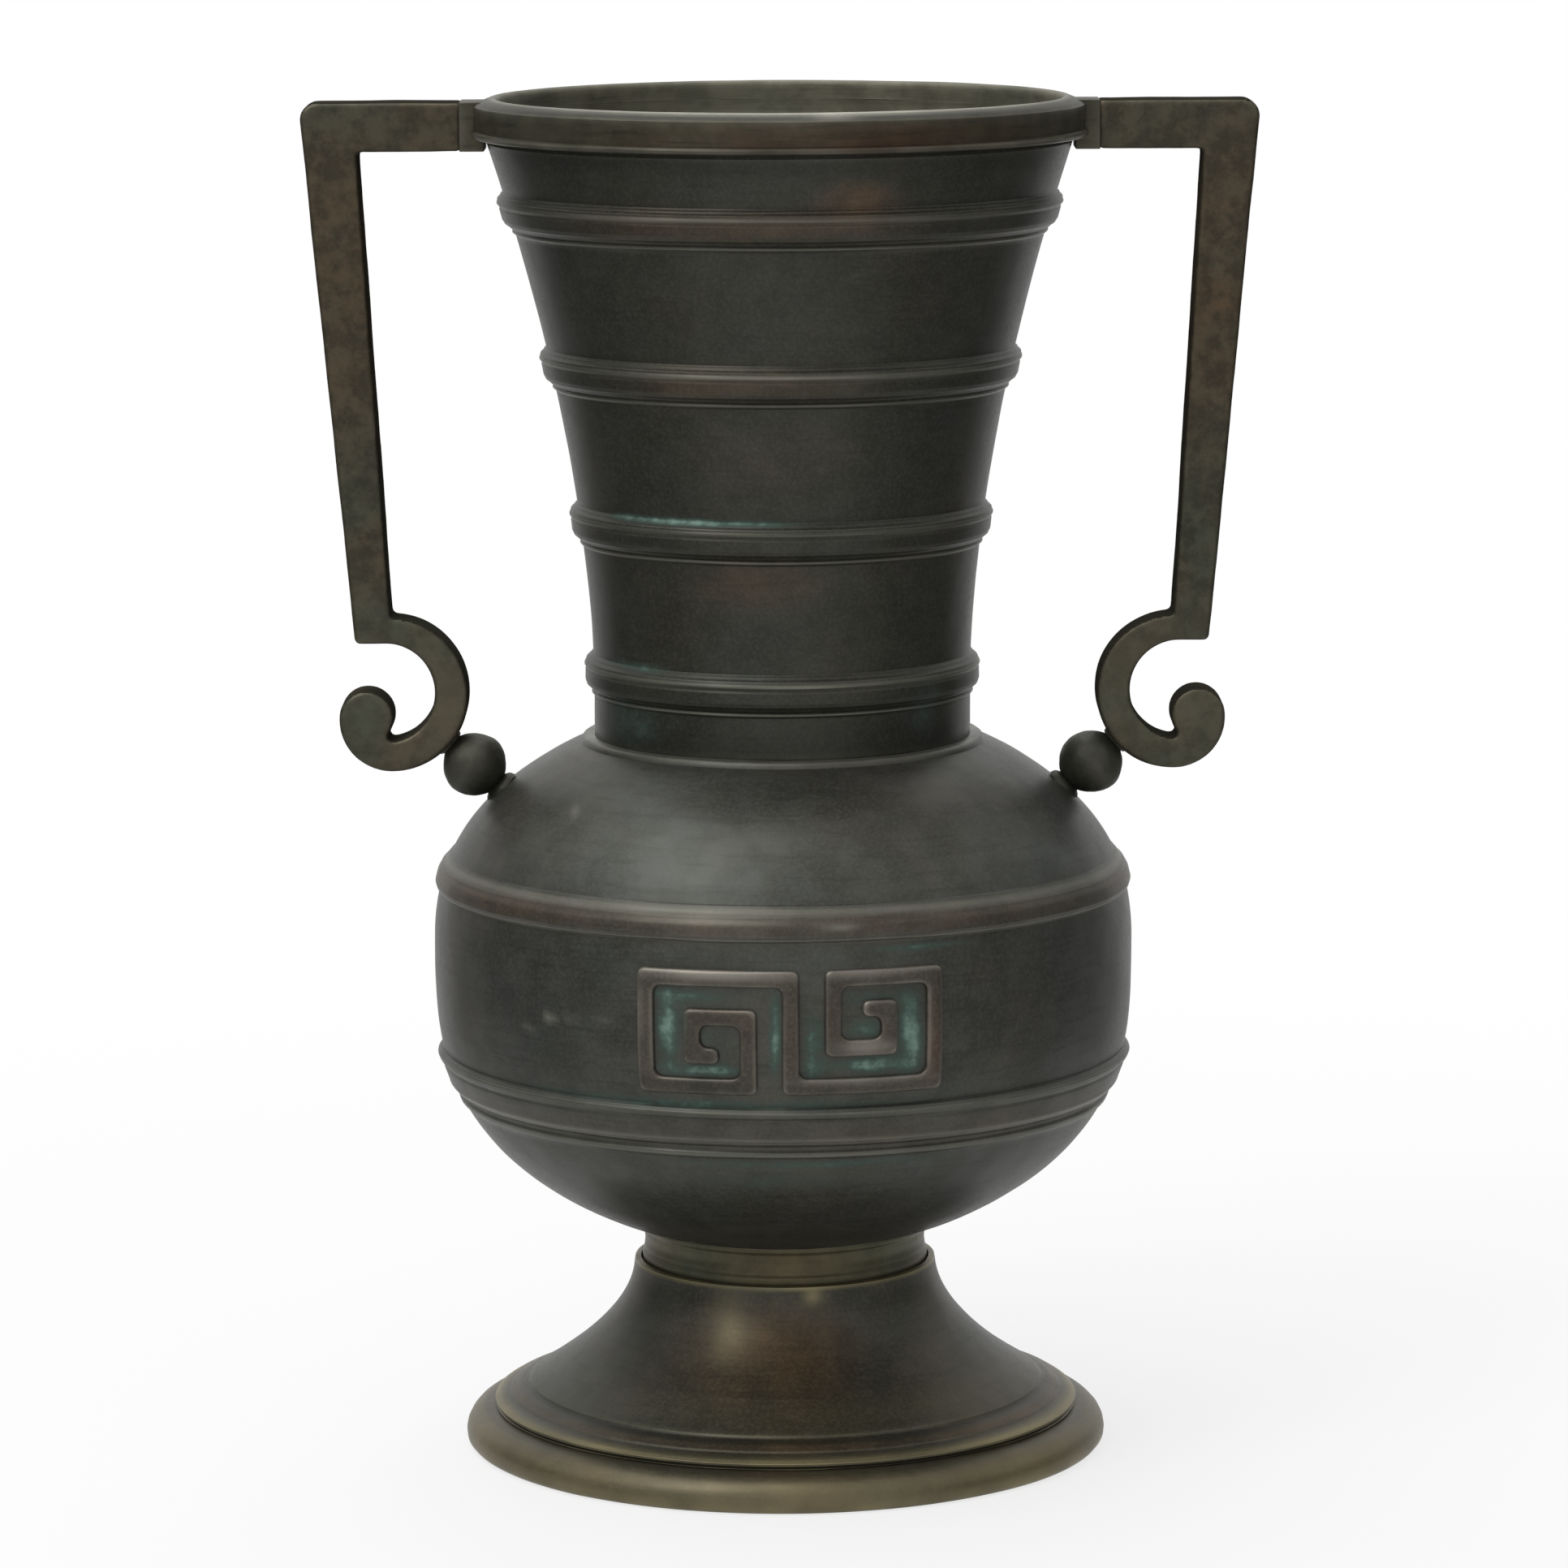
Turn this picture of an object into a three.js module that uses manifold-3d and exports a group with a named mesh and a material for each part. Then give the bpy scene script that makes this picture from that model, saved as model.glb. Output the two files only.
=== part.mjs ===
// A footed bronze vase with a flaring neck and two square-barred scroll handles, cast and turned in sections.
// Millimetres, +Z up. The foot stands on z = 0, the axis of turning is Z, the handles lie along X, and the
// front looks along -Y.

import * as THREE from "three";
import { mergeVertices } from "three/addons/utils/BufferGeometryUtils.js";
import Module from "manifold-3d";

const wasm = await Module();
wasm.setup();

// Driving dimensions: fits and facets
const clearance = 0.3; // room left between two pieces that seat on or in each other
const turnSides = 40; // facets round a turned casting
const pinSides = 12; // facets round a pin
const beadSides = 16;
const cutPast = 1.0; // how far a cutting tool runs past what it cuts
// Facets up each plain stretch of wall
const outlineSteps = {
  foot: 8, footInside: 5, underside: 5, belly: 4, crown: 6, bodyInside: 9, neckTop: 2, neckInside: 5,
};
const neckFacet = 7.5; // tallest facet between two mouldings of the neck

// Driving dimensions: foot
const footHeight = 34.6; // floor to the rim that takes the stem collar
const footTopRadius = 28.0;
const footFlarePower = 1.94;
const footWall = 3.2;
const footDiaphragm = 3.0; // web across the foot that the stem sits on
const baseRadius = 59.6;
const baseRollHeight = 7.1; // rolled ring at the floor
const baseStepHeight = 2.4; // fine ridge above the roll
const baseRollShoulder = 7.0; // how far the roll's top slopes in
const baseStepGroove = 1.7; // undercut below the ridge
const baseStepProud = 0.6; // ridge beyond the skirt
const skirtInset = 8.3; // base ring's edge in to where the skirt meets the step
const standWidth = 5.0; // flat ring that rests on the table
const standEdge = 1.0; // rolled edge outside the flat

// Driving dimensions: stem collar
const stemHeight = 7.0; // part of the collar that shows between foot and belly
const footLip = 1.5; // foot's top left standing round the collar
const stemWaist = 0.5; // depth of its hollow waist
const stemSink = 3.6; // how deep the collar drops into the foot
const stemWall = 5.5; // collar's wall round the spigot
const spigotWall = 3.2;
const spigotPast = 0.4; // how far the tube ends short of the underside of the foot's web

// Driving dimensions: body
const bodyRadius = 64.5;
const bodyWall = 3.0;
const bellyFootOverhang = 1.5; // belly's underside beyond the collar
const widestHeight = 52.4; // belly's underside to its widest line
const crownHeight = 38.0; // widest line to the edge of the neck seat
const crownLedge = 2.5; // ledge round the foot of the neck
const undersideRise = 2.94; // powers of the two superellipses that meet at the widest line
const undersideTurn = 1.69;
const crownRise = 2.45;
const crownTurn = 1.73;
const seatRise = 1.0; // bright ring that the neck stands on
const seatBevel = 0.3;
const bellyBandDrop = 18.7; // widest line down to the top of the belly band
const bellyBandHeight = 10.7;
const bellyBandProud = 1.35; // at its upper edge
const bellyBandGroove = 0.5; // hollow under its lower edge
const shoulderBandRise = 10.3; // widest line up to the lower edge of the shoulder band
const shoulderBandHeight = 7.0;
const shoulderBandProud = 1.2;
const floorThickness = 2.5;
const floorSeat = 6.8; // width of the ledge that the disc lies on
const floorSink = 2.1;
const floorLedge = 1.6; // web left under the disc
const floorChamfer = 0.6;

// Driving dimensions: key-fret panel in low relief, front and back
const fretDrop = 5.1; // widest line down to the panel's centre
const fretHalfWidth = 26.2; // along the belly, to the centreline of the border stroke
const fretHalfHeight = 9.75;
const fretNearUpright = 7.5; // panel's centre to the spiral's near and far uprights
const fretFarUpright = 17.6;
const fretInnerBar = 2.8; // spiral's foot and hook, away from the panel's middle line
const fretHook = 4.2;
const fretHookLength = 5.0;
const fretStroke = 3.2;
const fretRelief = 1.0;
const fretRoot = 1.2; // how deep the stroke is let into the wall
const fretAngle = 1.1; // degrees that the panel sits off the handles' mid-plane

// Driving dimensions: neck
const neckHeight = 109.8; // neck seat to the underside of the mouth rim
const neckRadius = 34.6;
const neckStraight = 9.0; // length of the straight foot of the neck
const neckFlarePower = 1.76;
const neckWall = 2.7;
const neckSpigotStep = 2.6; // how much slimmer the spigot is than the neck
const neckSpigotLength = 6.5;
const neckInsideEase = 2.0; // how far from each end the inside runs straight
const rimSpigotLength = 3.4; // reduced end that enters the mouth rim
const rimSpigotStep = 0.6;
const lowerBandTops = [15.5, 43.2]; // from the neck seat up
const upperBandTops = [38.0, 9.7]; // from the underside of the mouth rim down
const bandHeight = 7.9; // sloping shoulder, upright face, cove and fine ridge
const bandProud = 1.7;
const bandRidge = 0.5;

// Driving dimensions: mouth rim
const rimHeight = 7.2;
const rimRadius = 56.0;
const rimOverhang = 2.3; // rim's face beyond the top of the neck
const lipWidth = 4.7;
const rimLedge = 0.5; // how far the lower bead overhangs the band
const rimBeadHeight = 1.4;
const rimTaper = 0.2; // rim's face leans in by this much at its top
const lipRound = 0.9;
const lipSlope = 0.7; // lip's outer edge below its inner edge
const lugReach = 2.2; // how far the lug for the handle stands out of the rim
const lugLip = 0.1; // how far the lug stands proud of the arm all round

// Driving dimensions: handles
const handleReach = 87.1; // axis to the outer face of the leg at the top
const handleDepth = 9.4;
const handleBevel = 0.8;
const armThickness = 8.9;
const armDrop = 0.7; // top of the arm below the lip
const cornerRound = 3.0;
const legTopWidth = 10.3;
const legFootWidth = 6.6;
const legFootOut = 6.4; // leg's outer face beyond the centre of the scroll
const scrollRadius = 14.2;
const scrollStroke = 5.5; // at the bottom of the scroll
const curlRadius = 9.1; // inside curve of the scroll
const curlOut = 1.0; // its centre outwards from the centre of the scroll
const notchRound = 0.9; // fillet between the inside curve and the eye
const eyeRadius = 5.0;
const eyeOut = 4.5; // eye centre outwards from the centre of the scroll
const eyeLift = 0.4; // eye centre above the centre of the lower sweep

// Driving dimensions: beads, studs and pins
const beadRadius = 5.75;
const beadCollarRadius = 3.0; // flats that the bead bears on
const beadDrop = 10.2; // neck seat down to where the stud's axis leaves the shoulder
const studAngle = 42.0; // degrees above the horizontal
const studRadius = 1.5;
const studGrip = 3.2; // length that the stud runs into the scroll
const studHeadRadius = 3.2;
const studHeadThickness = 1.2;
const padRadius = 3.4; // pad on the shoulder under the bead
const padRise = 0.6;
const padRoot = 1.5; // how deep the pad is let into the wall
const spotFaceDepth = 0.5; // flat cut for the stud's head inside the wall
const rimPinRadius = 1.4;
const rimPinGrip = 7.0; // length that the pin runs into the arm

// Radii that follow from the fits
const stemRadius = footTopRadius - footLip;
const spigotRadius = stemRadius - stemWall - clearance;
const bellyFootRadius = stemRadius + bellyFootOverhang;
const footFlare = baseRadius - skirtInset - footTopRadius;
const crownRadius = neckRadius + crownLedge;
const neckSpigotRadius = neckRadius - neckSpigotStep;
const neckFlare = rimRadius - rimOverhang - neckRadius;
const mouthRadius = rimRadius - lipWidth;

// Levels along the axis
const footTop = footHeight;
const bellyBottom = footTop + stemHeight;
const widest = bellyBottom + widestHeight;
const crownEdge = widest + crownHeight;
const neckSeat = crownEdge + seatRise;
const neckBase = neckSeat + clearance;
const rimBottom = neckSeat + neckHeight;
const rimTop = rimBottom + rimHeight;
const baseTop = baseRollHeight + baseStepHeight;

// Outlines as functions of height
const superRadius = (radius, height, rise, turn, offset) =>
  radius * (1 - Math.min(1, Math.abs(offset) / height) ** rise) ** (1 / turn);
const semiHeight = (run, endRadius, rise, turn) =>
  run / (1 - (endRadius / bodyRadius) ** turn) ** (1 / rise);
const undersideSemi = semiHeight(widestHeight, bellyFootRadius, undersideRise, undersideTurn);
const crownSemi = semiHeight(crownHeight, crownRadius, crownRise, crownTurn);

function bodyRadiusAt(z, inset = 0) {
  return z < widest
    ? superRadius(bodyRadius - inset, undersideSemi - inset, undersideRise, undersideTurn, widest - z)
    : superRadius(bodyRadius - inset, crownSemi - inset, crownRise, crownTurn, z - widest);
}

function neckRadiusAt(z) {
  const start = neckSeat + neckStraight;
  const share = Math.max(0, (z - start) / (rimBottom - start));
  return neckRadius + neckFlare * share ** neckFlarePower;
}

function footRadiusAt(z) {
  const share = Math.max(0, (footTop - z) / (footTop - baseTop));
  return footTopRadius + footFlare * share ** footFlarePower;
}

// Points [radius, z] along an outline, closer together where the radius changes fastest
function sweep(radiusAt, from, to, steps) {
  const fine = 200;
  const samples = Array.from({ length: fine + 1 }, (_, i) => {
    const z = from + ((to - from) * i) / fine;
    return [radiusAt(z), z];
  });
  const travelled = [0];
  for (let i = 1; i <= fine; i++) {
    const [r0, z0] = samples[i - 1];
    const [r1, z1] = samples[i];
    travelled.push(travelled[i - 1] + Math.hypot(r1 - r0, z1 - z0));
  }
  return Array.from({ length: steps + 1 }, (_, k) => {
    const goal = (travelled[fine] * k) / steps;
    return samples[Math.max(0, travelled.findIndex((t) => t >= goal - 1e-9))];
  });
}

// A moulding from its lower edge up: each step is [share of its height, how far it stands proud of the wall]
const moulding = (radiusAt, bottom, height, steps) =>
  steps.map(([share, proud]) => [radiusAt(bottom + share * height) + proud, bottom + share * height]);

const neckBandSteps = [
  [0, 0],
  [0.07, bandRidge],
  [0.13, 0.6 * bandRidge],
  [0.28, bandProud],
  [0.75, bandProud],
  [1, 0],
];
const shoulderBandSteps = [[0, 0], [0.2, shoulderBandProud], [0.7, shoulderBandProud], [1, 0]];
const baseStepSteps = [[0, -baseStepGroove], [0.25, -0.1 * baseStepGroove], [0.7, baseStepProud], [1, 0]];
const bellyBandSteps = [[0, 0], [0.2, -bellyBandGroove], [0.35, 0], [0.8, bellyBandProud], [1, 0]];
// The rolled ring: share of its height, share of how far its top slopes in
const baseRollSteps = [[0.15, 0], [0.5, 0.1], [0.8, 0.3]];

// Solids: three.js geometry goes in, manifold-3d joins and cuts, three.js geometry comes out
function solidOf(geometry) {
  const bare = new THREE.BufferGeometry();
  bare.setAttribute("position", geometry.getAttribute("position"));
  bare.setIndex(geometry.getIndex());
  const merged = mergeVertices(bare, 1e-4);
  return new wasm.Manifold(
    new wasm.Mesh({
      numProp: 3,
      vertProperties: merged.getAttribute("position").array,
      triVerts: new Uint32Array(merged.getIndex().array),
    }),
  );
}

function geometryOf(solid) {
  const { vertProperties, triVerts } = solid.getMesh();
  const indexed = new THREE.BufferGeometry();
  indexed.setAttribute("position", new THREE.BufferAttribute(vertProperties, 3));
  indexed.setIndex(new THREE.BufferAttribute(triVerts, 1));
  const flat = indexed.toNonIndexed();
  flat.computeVertexNormals();
  return flat;
}

// Outline given anticlockwise in the half-plane [radius, z], turned about Z
function turned(outline, sides = turnSides) {
  const points = [...outline, outline[0]].map(([r, z]) => new THREE.Vector2(r, z));
  return new THREE.LatheGeometry(points, sides).rotateX(Math.PI / 2);
}

// A round bar whose axis leaves `start` at `angle` degrees above +X in the XZ plane
function bar(start, angle, length, radius) {
  const lift = THREE.MathUtils.degToRad(angle);
  return new THREE.CylinderGeometry(radius, radius, length, pinSides)
    .translate(0, length / 2, 0)
    .rotateZ(lift - Math.PI / 2)
    .rotateX(Math.PI / 2)
    .applyMatrix4(new THREE.Matrix4().makeTranslation(start.x, 0, start.y));
}

const along = (point, angle, distance) =>
  new THREE.Vector2(
    point.x + distance * Math.cos(THREE.MathUtils.degToRad(angle)),
    point.y + distance * Math.sin(THREE.MathUtils.degToRad(angle)),
  );

// Both sides: what is made on the +X side is repeated half a turn round
const bothSides = (geometry) => [geometry, geometry.clone().rotateZ(Math.PI)].map(solidOf);

// Where the stud line runs, in the XZ plane
const studFoot = new THREE.Vector2(bodyRadiusAt(neckSeat - beadDrop), neckSeat - beadDrop);
const beadCentre = along(studFoot, studAngle, padRise + clearance + beadRadius);
const scrollCentre = along(beadCentre, studAngle, beadRadius + clearance + scrollRadius);
const studEnd = along(beadCentre, studAngle, beadRadius + clearance + studGrip);
const headSeat = along(studFoot, studAngle, -bodyWall - spotFaceDepth);

// Where the rim pin runs
const armTop = rimTop - armDrop;
const armBottom = armTop - armThickness;
const armMiddle = (armTop + armBottom) / 2;
const armEnd = rimRadius + lugReach + clearance;
const pinStart = mouthRadius + clearance;

// Foot: trumpet skirt on a rolled ring, with a web that carries the stem
function footGeometry() {
  const recessRadius = stemRadius + clearance;
  const recessFloor = footTop - stemSink;
  const webBottom = recessFloor - footDiaphragm;
  const boreRadius = spigotRadius + clearance;
  const insideRadiusAt = (z) => footRadiusAt(z) - footWall;
  const standInner = baseRadius - standWidth - standEdge;
  const hollowEdge = 0.4 * baseTop;
  return turned([
    [standInner, 0],
    [standInner + standWidth, 0],
    ...baseRollSteps.map(([rise, slope]) => [baseRadius - slope * baseRollShoulder, rise * baseRollHeight]),
    ...moulding(footRadiusAt, baseRollHeight, baseStepHeight, baseStepSteps),
    ...sweep(footRadiusAt, baseTop, footTop, outlineSteps.foot).slice(1),
    [recessRadius, footTop],
    [recessRadius, recessFloor],
    [boreRadius, recessFloor],
    [boreRadius, webBottom],
    ...sweep(insideRadiusAt, webBottom, baseTop, outlineSteps.footInside),
    [standInner, hollowEdge],
  ]);
}

// Stem collar: a waisted ring dropped into the foot
function stemGeometry() {
  const top = bellyBottom - clearance;
  const bottom = footTop - stemSink + clearance;
  const bore = spigotRadius + clearance;
  const waistStart = footTop + 0.15 * stemHeight;
  const waistMiddle = footTop + 0.5 * stemHeight;
  return turned([
    [bore, bottom],
    [stemRadius, bottom],
    [stemRadius, waistStart],
    [stemRadius - stemWaist, waistMiddle],
    [stemRadius, top],
    [bore, top],
  ]);
}

// Fret: one square-cornered stroke that winds out of one spiral and into the other
function fretOutline() {
  const half = [
    [fretFarUpright - fretHookLength, fretHook],
    [fretFarUpright, fretHook],
    [fretFarUpright, -fretInnerBar],
    [fretNearUpright, -fretInnerBar],
    [fretNearUpright, fretHalfHeight],
    [fretHalfWidth, fretHalfHeight],
    [fretHalfWidth, -fretHalfHeight],
    [0, -fretHalfHeight],
  ];
  const path = [...half, ...half.map(([x, y]) => [-x, -y]).reverse()];
  const side = (sign) =>
    path.map(([x, y], i) => {
      const before = path[Math.max(0, i - 1)];
      const after = path[Math.min(path.length - 1, i + 1)];
      const turn = (a, b) => new THREE.Vector2(b[0] - a[0], b[1] - a[1]).normalize();
      const entry = i > 0 ? turn(before, [x, y]) : turn([x, y], after);
      const exit = i < path.length - 1 ? turn([x, y], after) : entry;
      const reach = (sign * fretStroke) / 2;
      const corner = entry.dot(exit) > 0.5 ? entry : entry.clone().add(exit);
      return [x - reach * corner.y, y + reach * corner.x];
    });
  return [...side(1), ...side(-1).reverse()];
}

// The stroke is extruded flat, then wrapped on the belly
function fretGeometry() {
  const corners = fretOutline();
  const facet = (2 * Math.PI * bodyRadius) / turnSides / 2;
  const points = corners.flatMap(([x, y], i) => {
    const [nx, ny] = corners[(i + 1) % corners.length];
    const pieces = Math.max(1, Math.round(Math.abs(nx - x) / facet));
    return Array.from(
      { length: pieces },
      (_, k) => new THREE.Vector2(x + ((nx - x) * k) / pieces, y + ((ny - y) * k) / pieces),
    );
  });
  const flat = new THREE.ExtrudeGeometry(new THREE.Shape(points), {
    depth: fretRoot + fretRelief,
    bevelEnabled: false,
  });
  const centre = THREE.MathUtils.degToRad(fretAngle);
  const position = flat.getAttribute("position");
  for (let i = 0; i < position.count; i++) {
    const z = widest - fretDrop + position.getY(i);
    const radius = bodyRadiusAt(z) - fretRoot + position.getZ(i);
    const angle = centre + position.getX(i) / bodyRadius;
    position.setXYZ(i, radius * Math.sin(angle), -radius * Math.cos(angle), z);
  }
  return flat;
}

// Body: globular casting with its bands, neck seat, bottom spigot, stud pads and fret panels
function bodySolid() {
  const spigotEnd = footTop - stemSink - footDiaphragm + spigotPast;
  const bore = spigotRadius - spigotWall;
  const ledge = bellyBottom + floorLedge;
  const floorRecess = ledge + floorSink;
  const openingRadius = neckSpigotRadius + clearance;
  const bandTop = widest - bellyBandDrop;
  const bandBottom = bandTop - bellyBandHeight;
  const shoulderLow = widest + shoulderBandRise;
  const shoulderHigh = shoulderLow + shoulderBandHeight;
  const floorRadius = bore + floorSeat;
  const insideRadiusAt = (z) => bodyRadiusAt(z, bodyWall);
  const openingEdge = 1.0; // how far outside the opening the belly's inside wall meets its top
  const crownInside = sweep(insideRadiusAt, widest, crownEdge, 60);
  const openingInside = crownInside.find(([r]) => r < openingRadius + openingEdge);
  const insideTop = openingInside ? openingInside[1] : crownEdge - bodyWall;
  const shell = turned([
    [bore, spigotEnd],
    [spigotRadius, spigotEnd],
    [spigotRadius, bellyBottom],
    ...sweep(bodyRadiusAt, bellyBottom, bandBottom, outlineSteps.underside).slice(0, -1),
    ...moulding(bodyRadiusAt, bandBottom, bellyBandHeight, bellyBandSteps),
    ...sweep(bodyRadiusAt, bandTop, shoulderLow, outlineSteps.belly).slice(1, -1),
    ...moulding(bodyRadiusAt, shoulderLow, shoulderBandHeight, shoulderBandSteps),
    ...sweep(bodyRadiusAt, shoulderHigh, crownEdge, outlineSteps.crown).slice(1),
    [crownRadius - seatBevel, neckSeat],
    [openingRadius, neckSeat],
    ...sweep(insideRadiusAt, insideTop, floorRecess, outlineSteps.bodyInside).slice(0, -1),
    [insideRadiusAt(floorRecess), floorRecess],
    [floorRadius + clearance, floorRecess],
    [floorRadius + clearance, ledge],
    [bore, ledge],
  ]);
  const pad = bar(along(studFoot, studAngle, -padRoot), studAngle, padRoot + padRise, padRadius);
  const holeDepth = 3 * bodyWall;
  const holeStart = along(studFoot, studAngle, -holeDepth);
  const studHole = bar(holeStart, studAngle, 2 * holeDepth, studRadius + clearance);
  const faceDepth = 2 * bodyWall;
  const faceStart = along(headSeat, studAngle, -faceDepth);
  const spotFace = bar(faceStart, studAngle, faceDepth, studHeadRadius + clearance);
  const fret = fretGeometry();
  const added = [...bothSides(pad), ...bothSides(fret)];
  const cut = [...bothSides(studHole), ...bothSides(spotFace)];
  const filled = added.reduce((solid, piece) => solid.add(piece), solidOf(shell));
  return cut.reduce((solid, piece) => solid.subtract(piece), filled);
}

// Floor: the disc that makes the belly hold water
function floorGeometry() {
  const floorRadius = spigotRadius - spigotWall + floorSeat;
  const bottom = bellyBottom + floorLedge + clearance;
  return turned([
    [0, bottom],
    [floorRadius, bottom],
    [floorRadius, bottom + floorThickness - floorChamfer],
    [floorRadius - floorChamfer, bottom + floorThickness],
    [0, bottom + floorThickness],
  ]);
}

// Neck: flaring tube with four turned mouldings, a spigot at each end, cross-bored for the rim pins
function neckSolid() {
  const insideRadiusAt = (z) => neckRadiusAt(z) - neckWall;
  const spigotBore = neckSpigotRadius - neckWall;
  const bandTops = [
    ...lowerBandTops.map((rise) => neckSeat + rise),
    ...upperBandTops.map((drop) => rimBottom - drop),
  ];
  const outside = [];
  let level = neckBase;
  for (const top of bandTops) {
    const bottom = top - bandHeight;
    const steps = Math.max(1, Math.round((bottom - level) / neckFacet));
    outside.push(...sweep(neckRadiusAt, level, bottom, steps).slice(0, -1));
    outside.push(...moulding(neckRadiusAt, bottom, bandHeight, neckBandSteps).slice(0, -1));
    level = top;
  }
  const step = rimBottom - clearance;
  outside.push(...sweep(neckRadiusAt, level, step, outlineSteps.neckTop));
  const spigotTop = rimBottom + rimSpigotLength;
  const tube = turned([
    [spigotBore, neckBase - neckSpigotLength],
    [neckSpigotRadius, neckBase - neckSpigotLength],
    [neckSpigotRadius, neckBase],
    ...outside,
    [neckRadiusAt(rimBottom) - rimSpigotStep, step],
    [neckRadiusAt(rimBottom) - rimSpigotStep, spigotTop],
    [mouthRadius, spigotTop],
    [mouthRadius, rimBottom],
    ...sweep(insideRadiusAt, rimBottom - neckInsideEase, neckBase + neckInsideEase, outlineSteps.neckInside),
  ]);
  const pinHole = bar(new THREE.Vector2(0, armMiddle), 0, 2 * rimRadius, rimPinRadius + clearance);
  return bothSides(pinHole).reduce((solid, hole) => solid.subtract(hole), solidOf(tube));
}

// Mouth rim: square-edged ring with an overhanging lower bead and a lug for each handle
function rimSolid() {
  const seatRadius = neckRadiusAt(rimBottom) - rimSpigotStep + clearance;
  const seatTop = rimBottom + rimSpigotLength + clearance;
  const ring = turned([
    [seatRadius, rimBottom],
    [rimRadius - rimTaper, rimBottom],
    [rimRadius, rimBottom + 0.5 * rimBeadHeight],
    [rimRadius - rimLedge, rimBottom + rimBeadHeight],
    [rimRadius - rimTaper, rimTop - lipSlope - lipRound],
    [rimRadius - lipRound, rimTop - lipSlope],
    [mouthRadius + lipRound, rimTop],
    [mouthRadius, rimTop - lipRound],
    [mouthRadius, seatTop],
    [seatRadius, seatTop],
  ]);
  const lugLow = armBottom - lugLip;
  const lugHigh = armTop + lugLip;
  const lugInner = neckRadiusAt(rimBottom) + clearance;
  const lugOuter = rimRadius + lugReach;
  const lugWidth = handleDepth + 2 * lugLip;
  const lug = new THREE.BoxGeometry(lugOuter - mouthRadius, lugWidth, lugHigh - lugLow).translate(
    (lugOuter + mouthRadius) / 2,
    0,
    (lugHigh + lugLow) / 2,
  );
  const below = turned([
    [0, lugLow - cutPast],
    [lugInner, lugLow - cutPast],
    [lugInner, rimBottom],
    [seatRadius, rimBottom],
    [seatRadius, seatTop],
    [mouthRadius + lipRound, seatTop],
    [mouthRadius + lipRound, lugHigh + cutPast],
    [0, lugHigh + cutPast],
  ]);
  const pinHole = bar(new THREE.Vector2(0, armMiddle), 0, 2 * rimRadius, rimPinRadius + clearance);
  const lugs = bothSides(lug).map((solid) => solid.subtract(solidOf(below)));
  const whole = lugs.reduce((solid, piece) => solid.add(piece), solidOf(ring));
  return bothSides(pinHole).reduce((solid, hole) => solid.subtract(hole), whole);
}

// Where two circles cross, on the right of the way from the first centre to the second
function crossing(first, firstRadius, second, secondRadius) {
  const apart = first.distanceTo(second);
  const run = (firstRadius ** 2 - secondRadius ** 2 + apart ** 2) / (2 * apart);
  const aside = Math.sqrt(firstRadius ** 2 - run ** 2);
  const way = second.clone().sub(first).normalize();
  return new THREE.Vector2(first.x + run * way.x + aside * way.y, first.y + run * way.y - aside * way.x);
}

// Handle: level arm, tapering leg and a scroll that ends in a round eye, one casting of square section
function handleSolid() {
  const scrollBottom = scrollCentre.y - scrollRadius;
  const curl = new THREE.Vector2(scrollCentre.x + curlOut, scrollBottom + scrollStroke + curlRadius);
  const legFootOuter = scrollCentre.x + legFootOut;
  const legFootZ = curl.y + curlRadius;
  const legFootInner = legFootOuter - legFootWidth;
  const legInnerTop = handleReach - legTopWidth;
  const legMeets = Math.acos((legFootInner - scrollCentre.x) / scrollRadius);
  const sweepRadius = eyeOut + eyeRadius;
  const sweepZ = scrollBottom + sweepRadius;
  const eye = new THREE.Vector2(scrollCentre.x + eyeOut, sweepZ + eyeLift);
  const notch = crossing(curl, curlRadius - notchRound, eye, eyeRadius + notchRound);
  const eyeToNotch = notch.clone().sub(eye).angle();
  const curlToNotch = notch.clone().sub(curl).angle();
  const shape = new THREE.Shape();
  shape.moveTo(armEnd, armBottom);
  shape.lineTo(legInnerTop, armBottom);
  shape.absarc(scrollCentre.x, scrollCentre.y, scrollRadius, legMeets, 1.5 * Math.PI, false);
  shape.absarc(scrollCentre.x, sweepZ, sweepRadius, 1.5 * Math.PI, 2 * Math.PI, false);
  shape.absarc(eye.x, eye.y, eyeRadius, 0, eyeToNotch, false);
  shape.absarc(notch.x, notch.y, notchRound, eyeToNotch - Math.PI, curlToNotch, true);
  shape.absarc(curl.x, curl.y, curlRadius, curlToNotch, Math.PI / 2, true);
  shape.lineTo(legFootOuter, legFootZ);
  shape.lineTo(handleReach, armTop - cornerRound);
  shape.quadraticCurveTo(handleReach, armTop, handleReach - cornerRound, armTop);
  shape.lineTo(armEnd, armTop);
  const casting = new THREE.ExtrudeGeometry(shape, {
    depth: handleDepth - 2 * handleBevel,
    bevelThickness: handleBevel,
    bevelSize: handleBevel,
    bevelOffset: -handleBevel,
    bevelSegments: 1,
    curveSegments: 8,
  })
    .translate(0, 0, handleBevel - handleDepth / 2)
    .rotateX(Math.PI / 2);
  const pinHoleStart = new THREE.Vector2(rimRadius, armMiddle);
  const pinHoleLength = armEnd - rimRadius + rimPinGrip + clearance;
  const pinHole = bar(pinHoleStart, 0, pinHoleLength, rimPinRadius + clearance);
  const studHole = bar(beadCentre, studAngle, beadRadius + studGrip + 2 * clearance, studRadius + clearance);
  return solidOf(casting).subtract(solidOf(pinHole)).subtract(solidOf(studHole));
}

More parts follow.
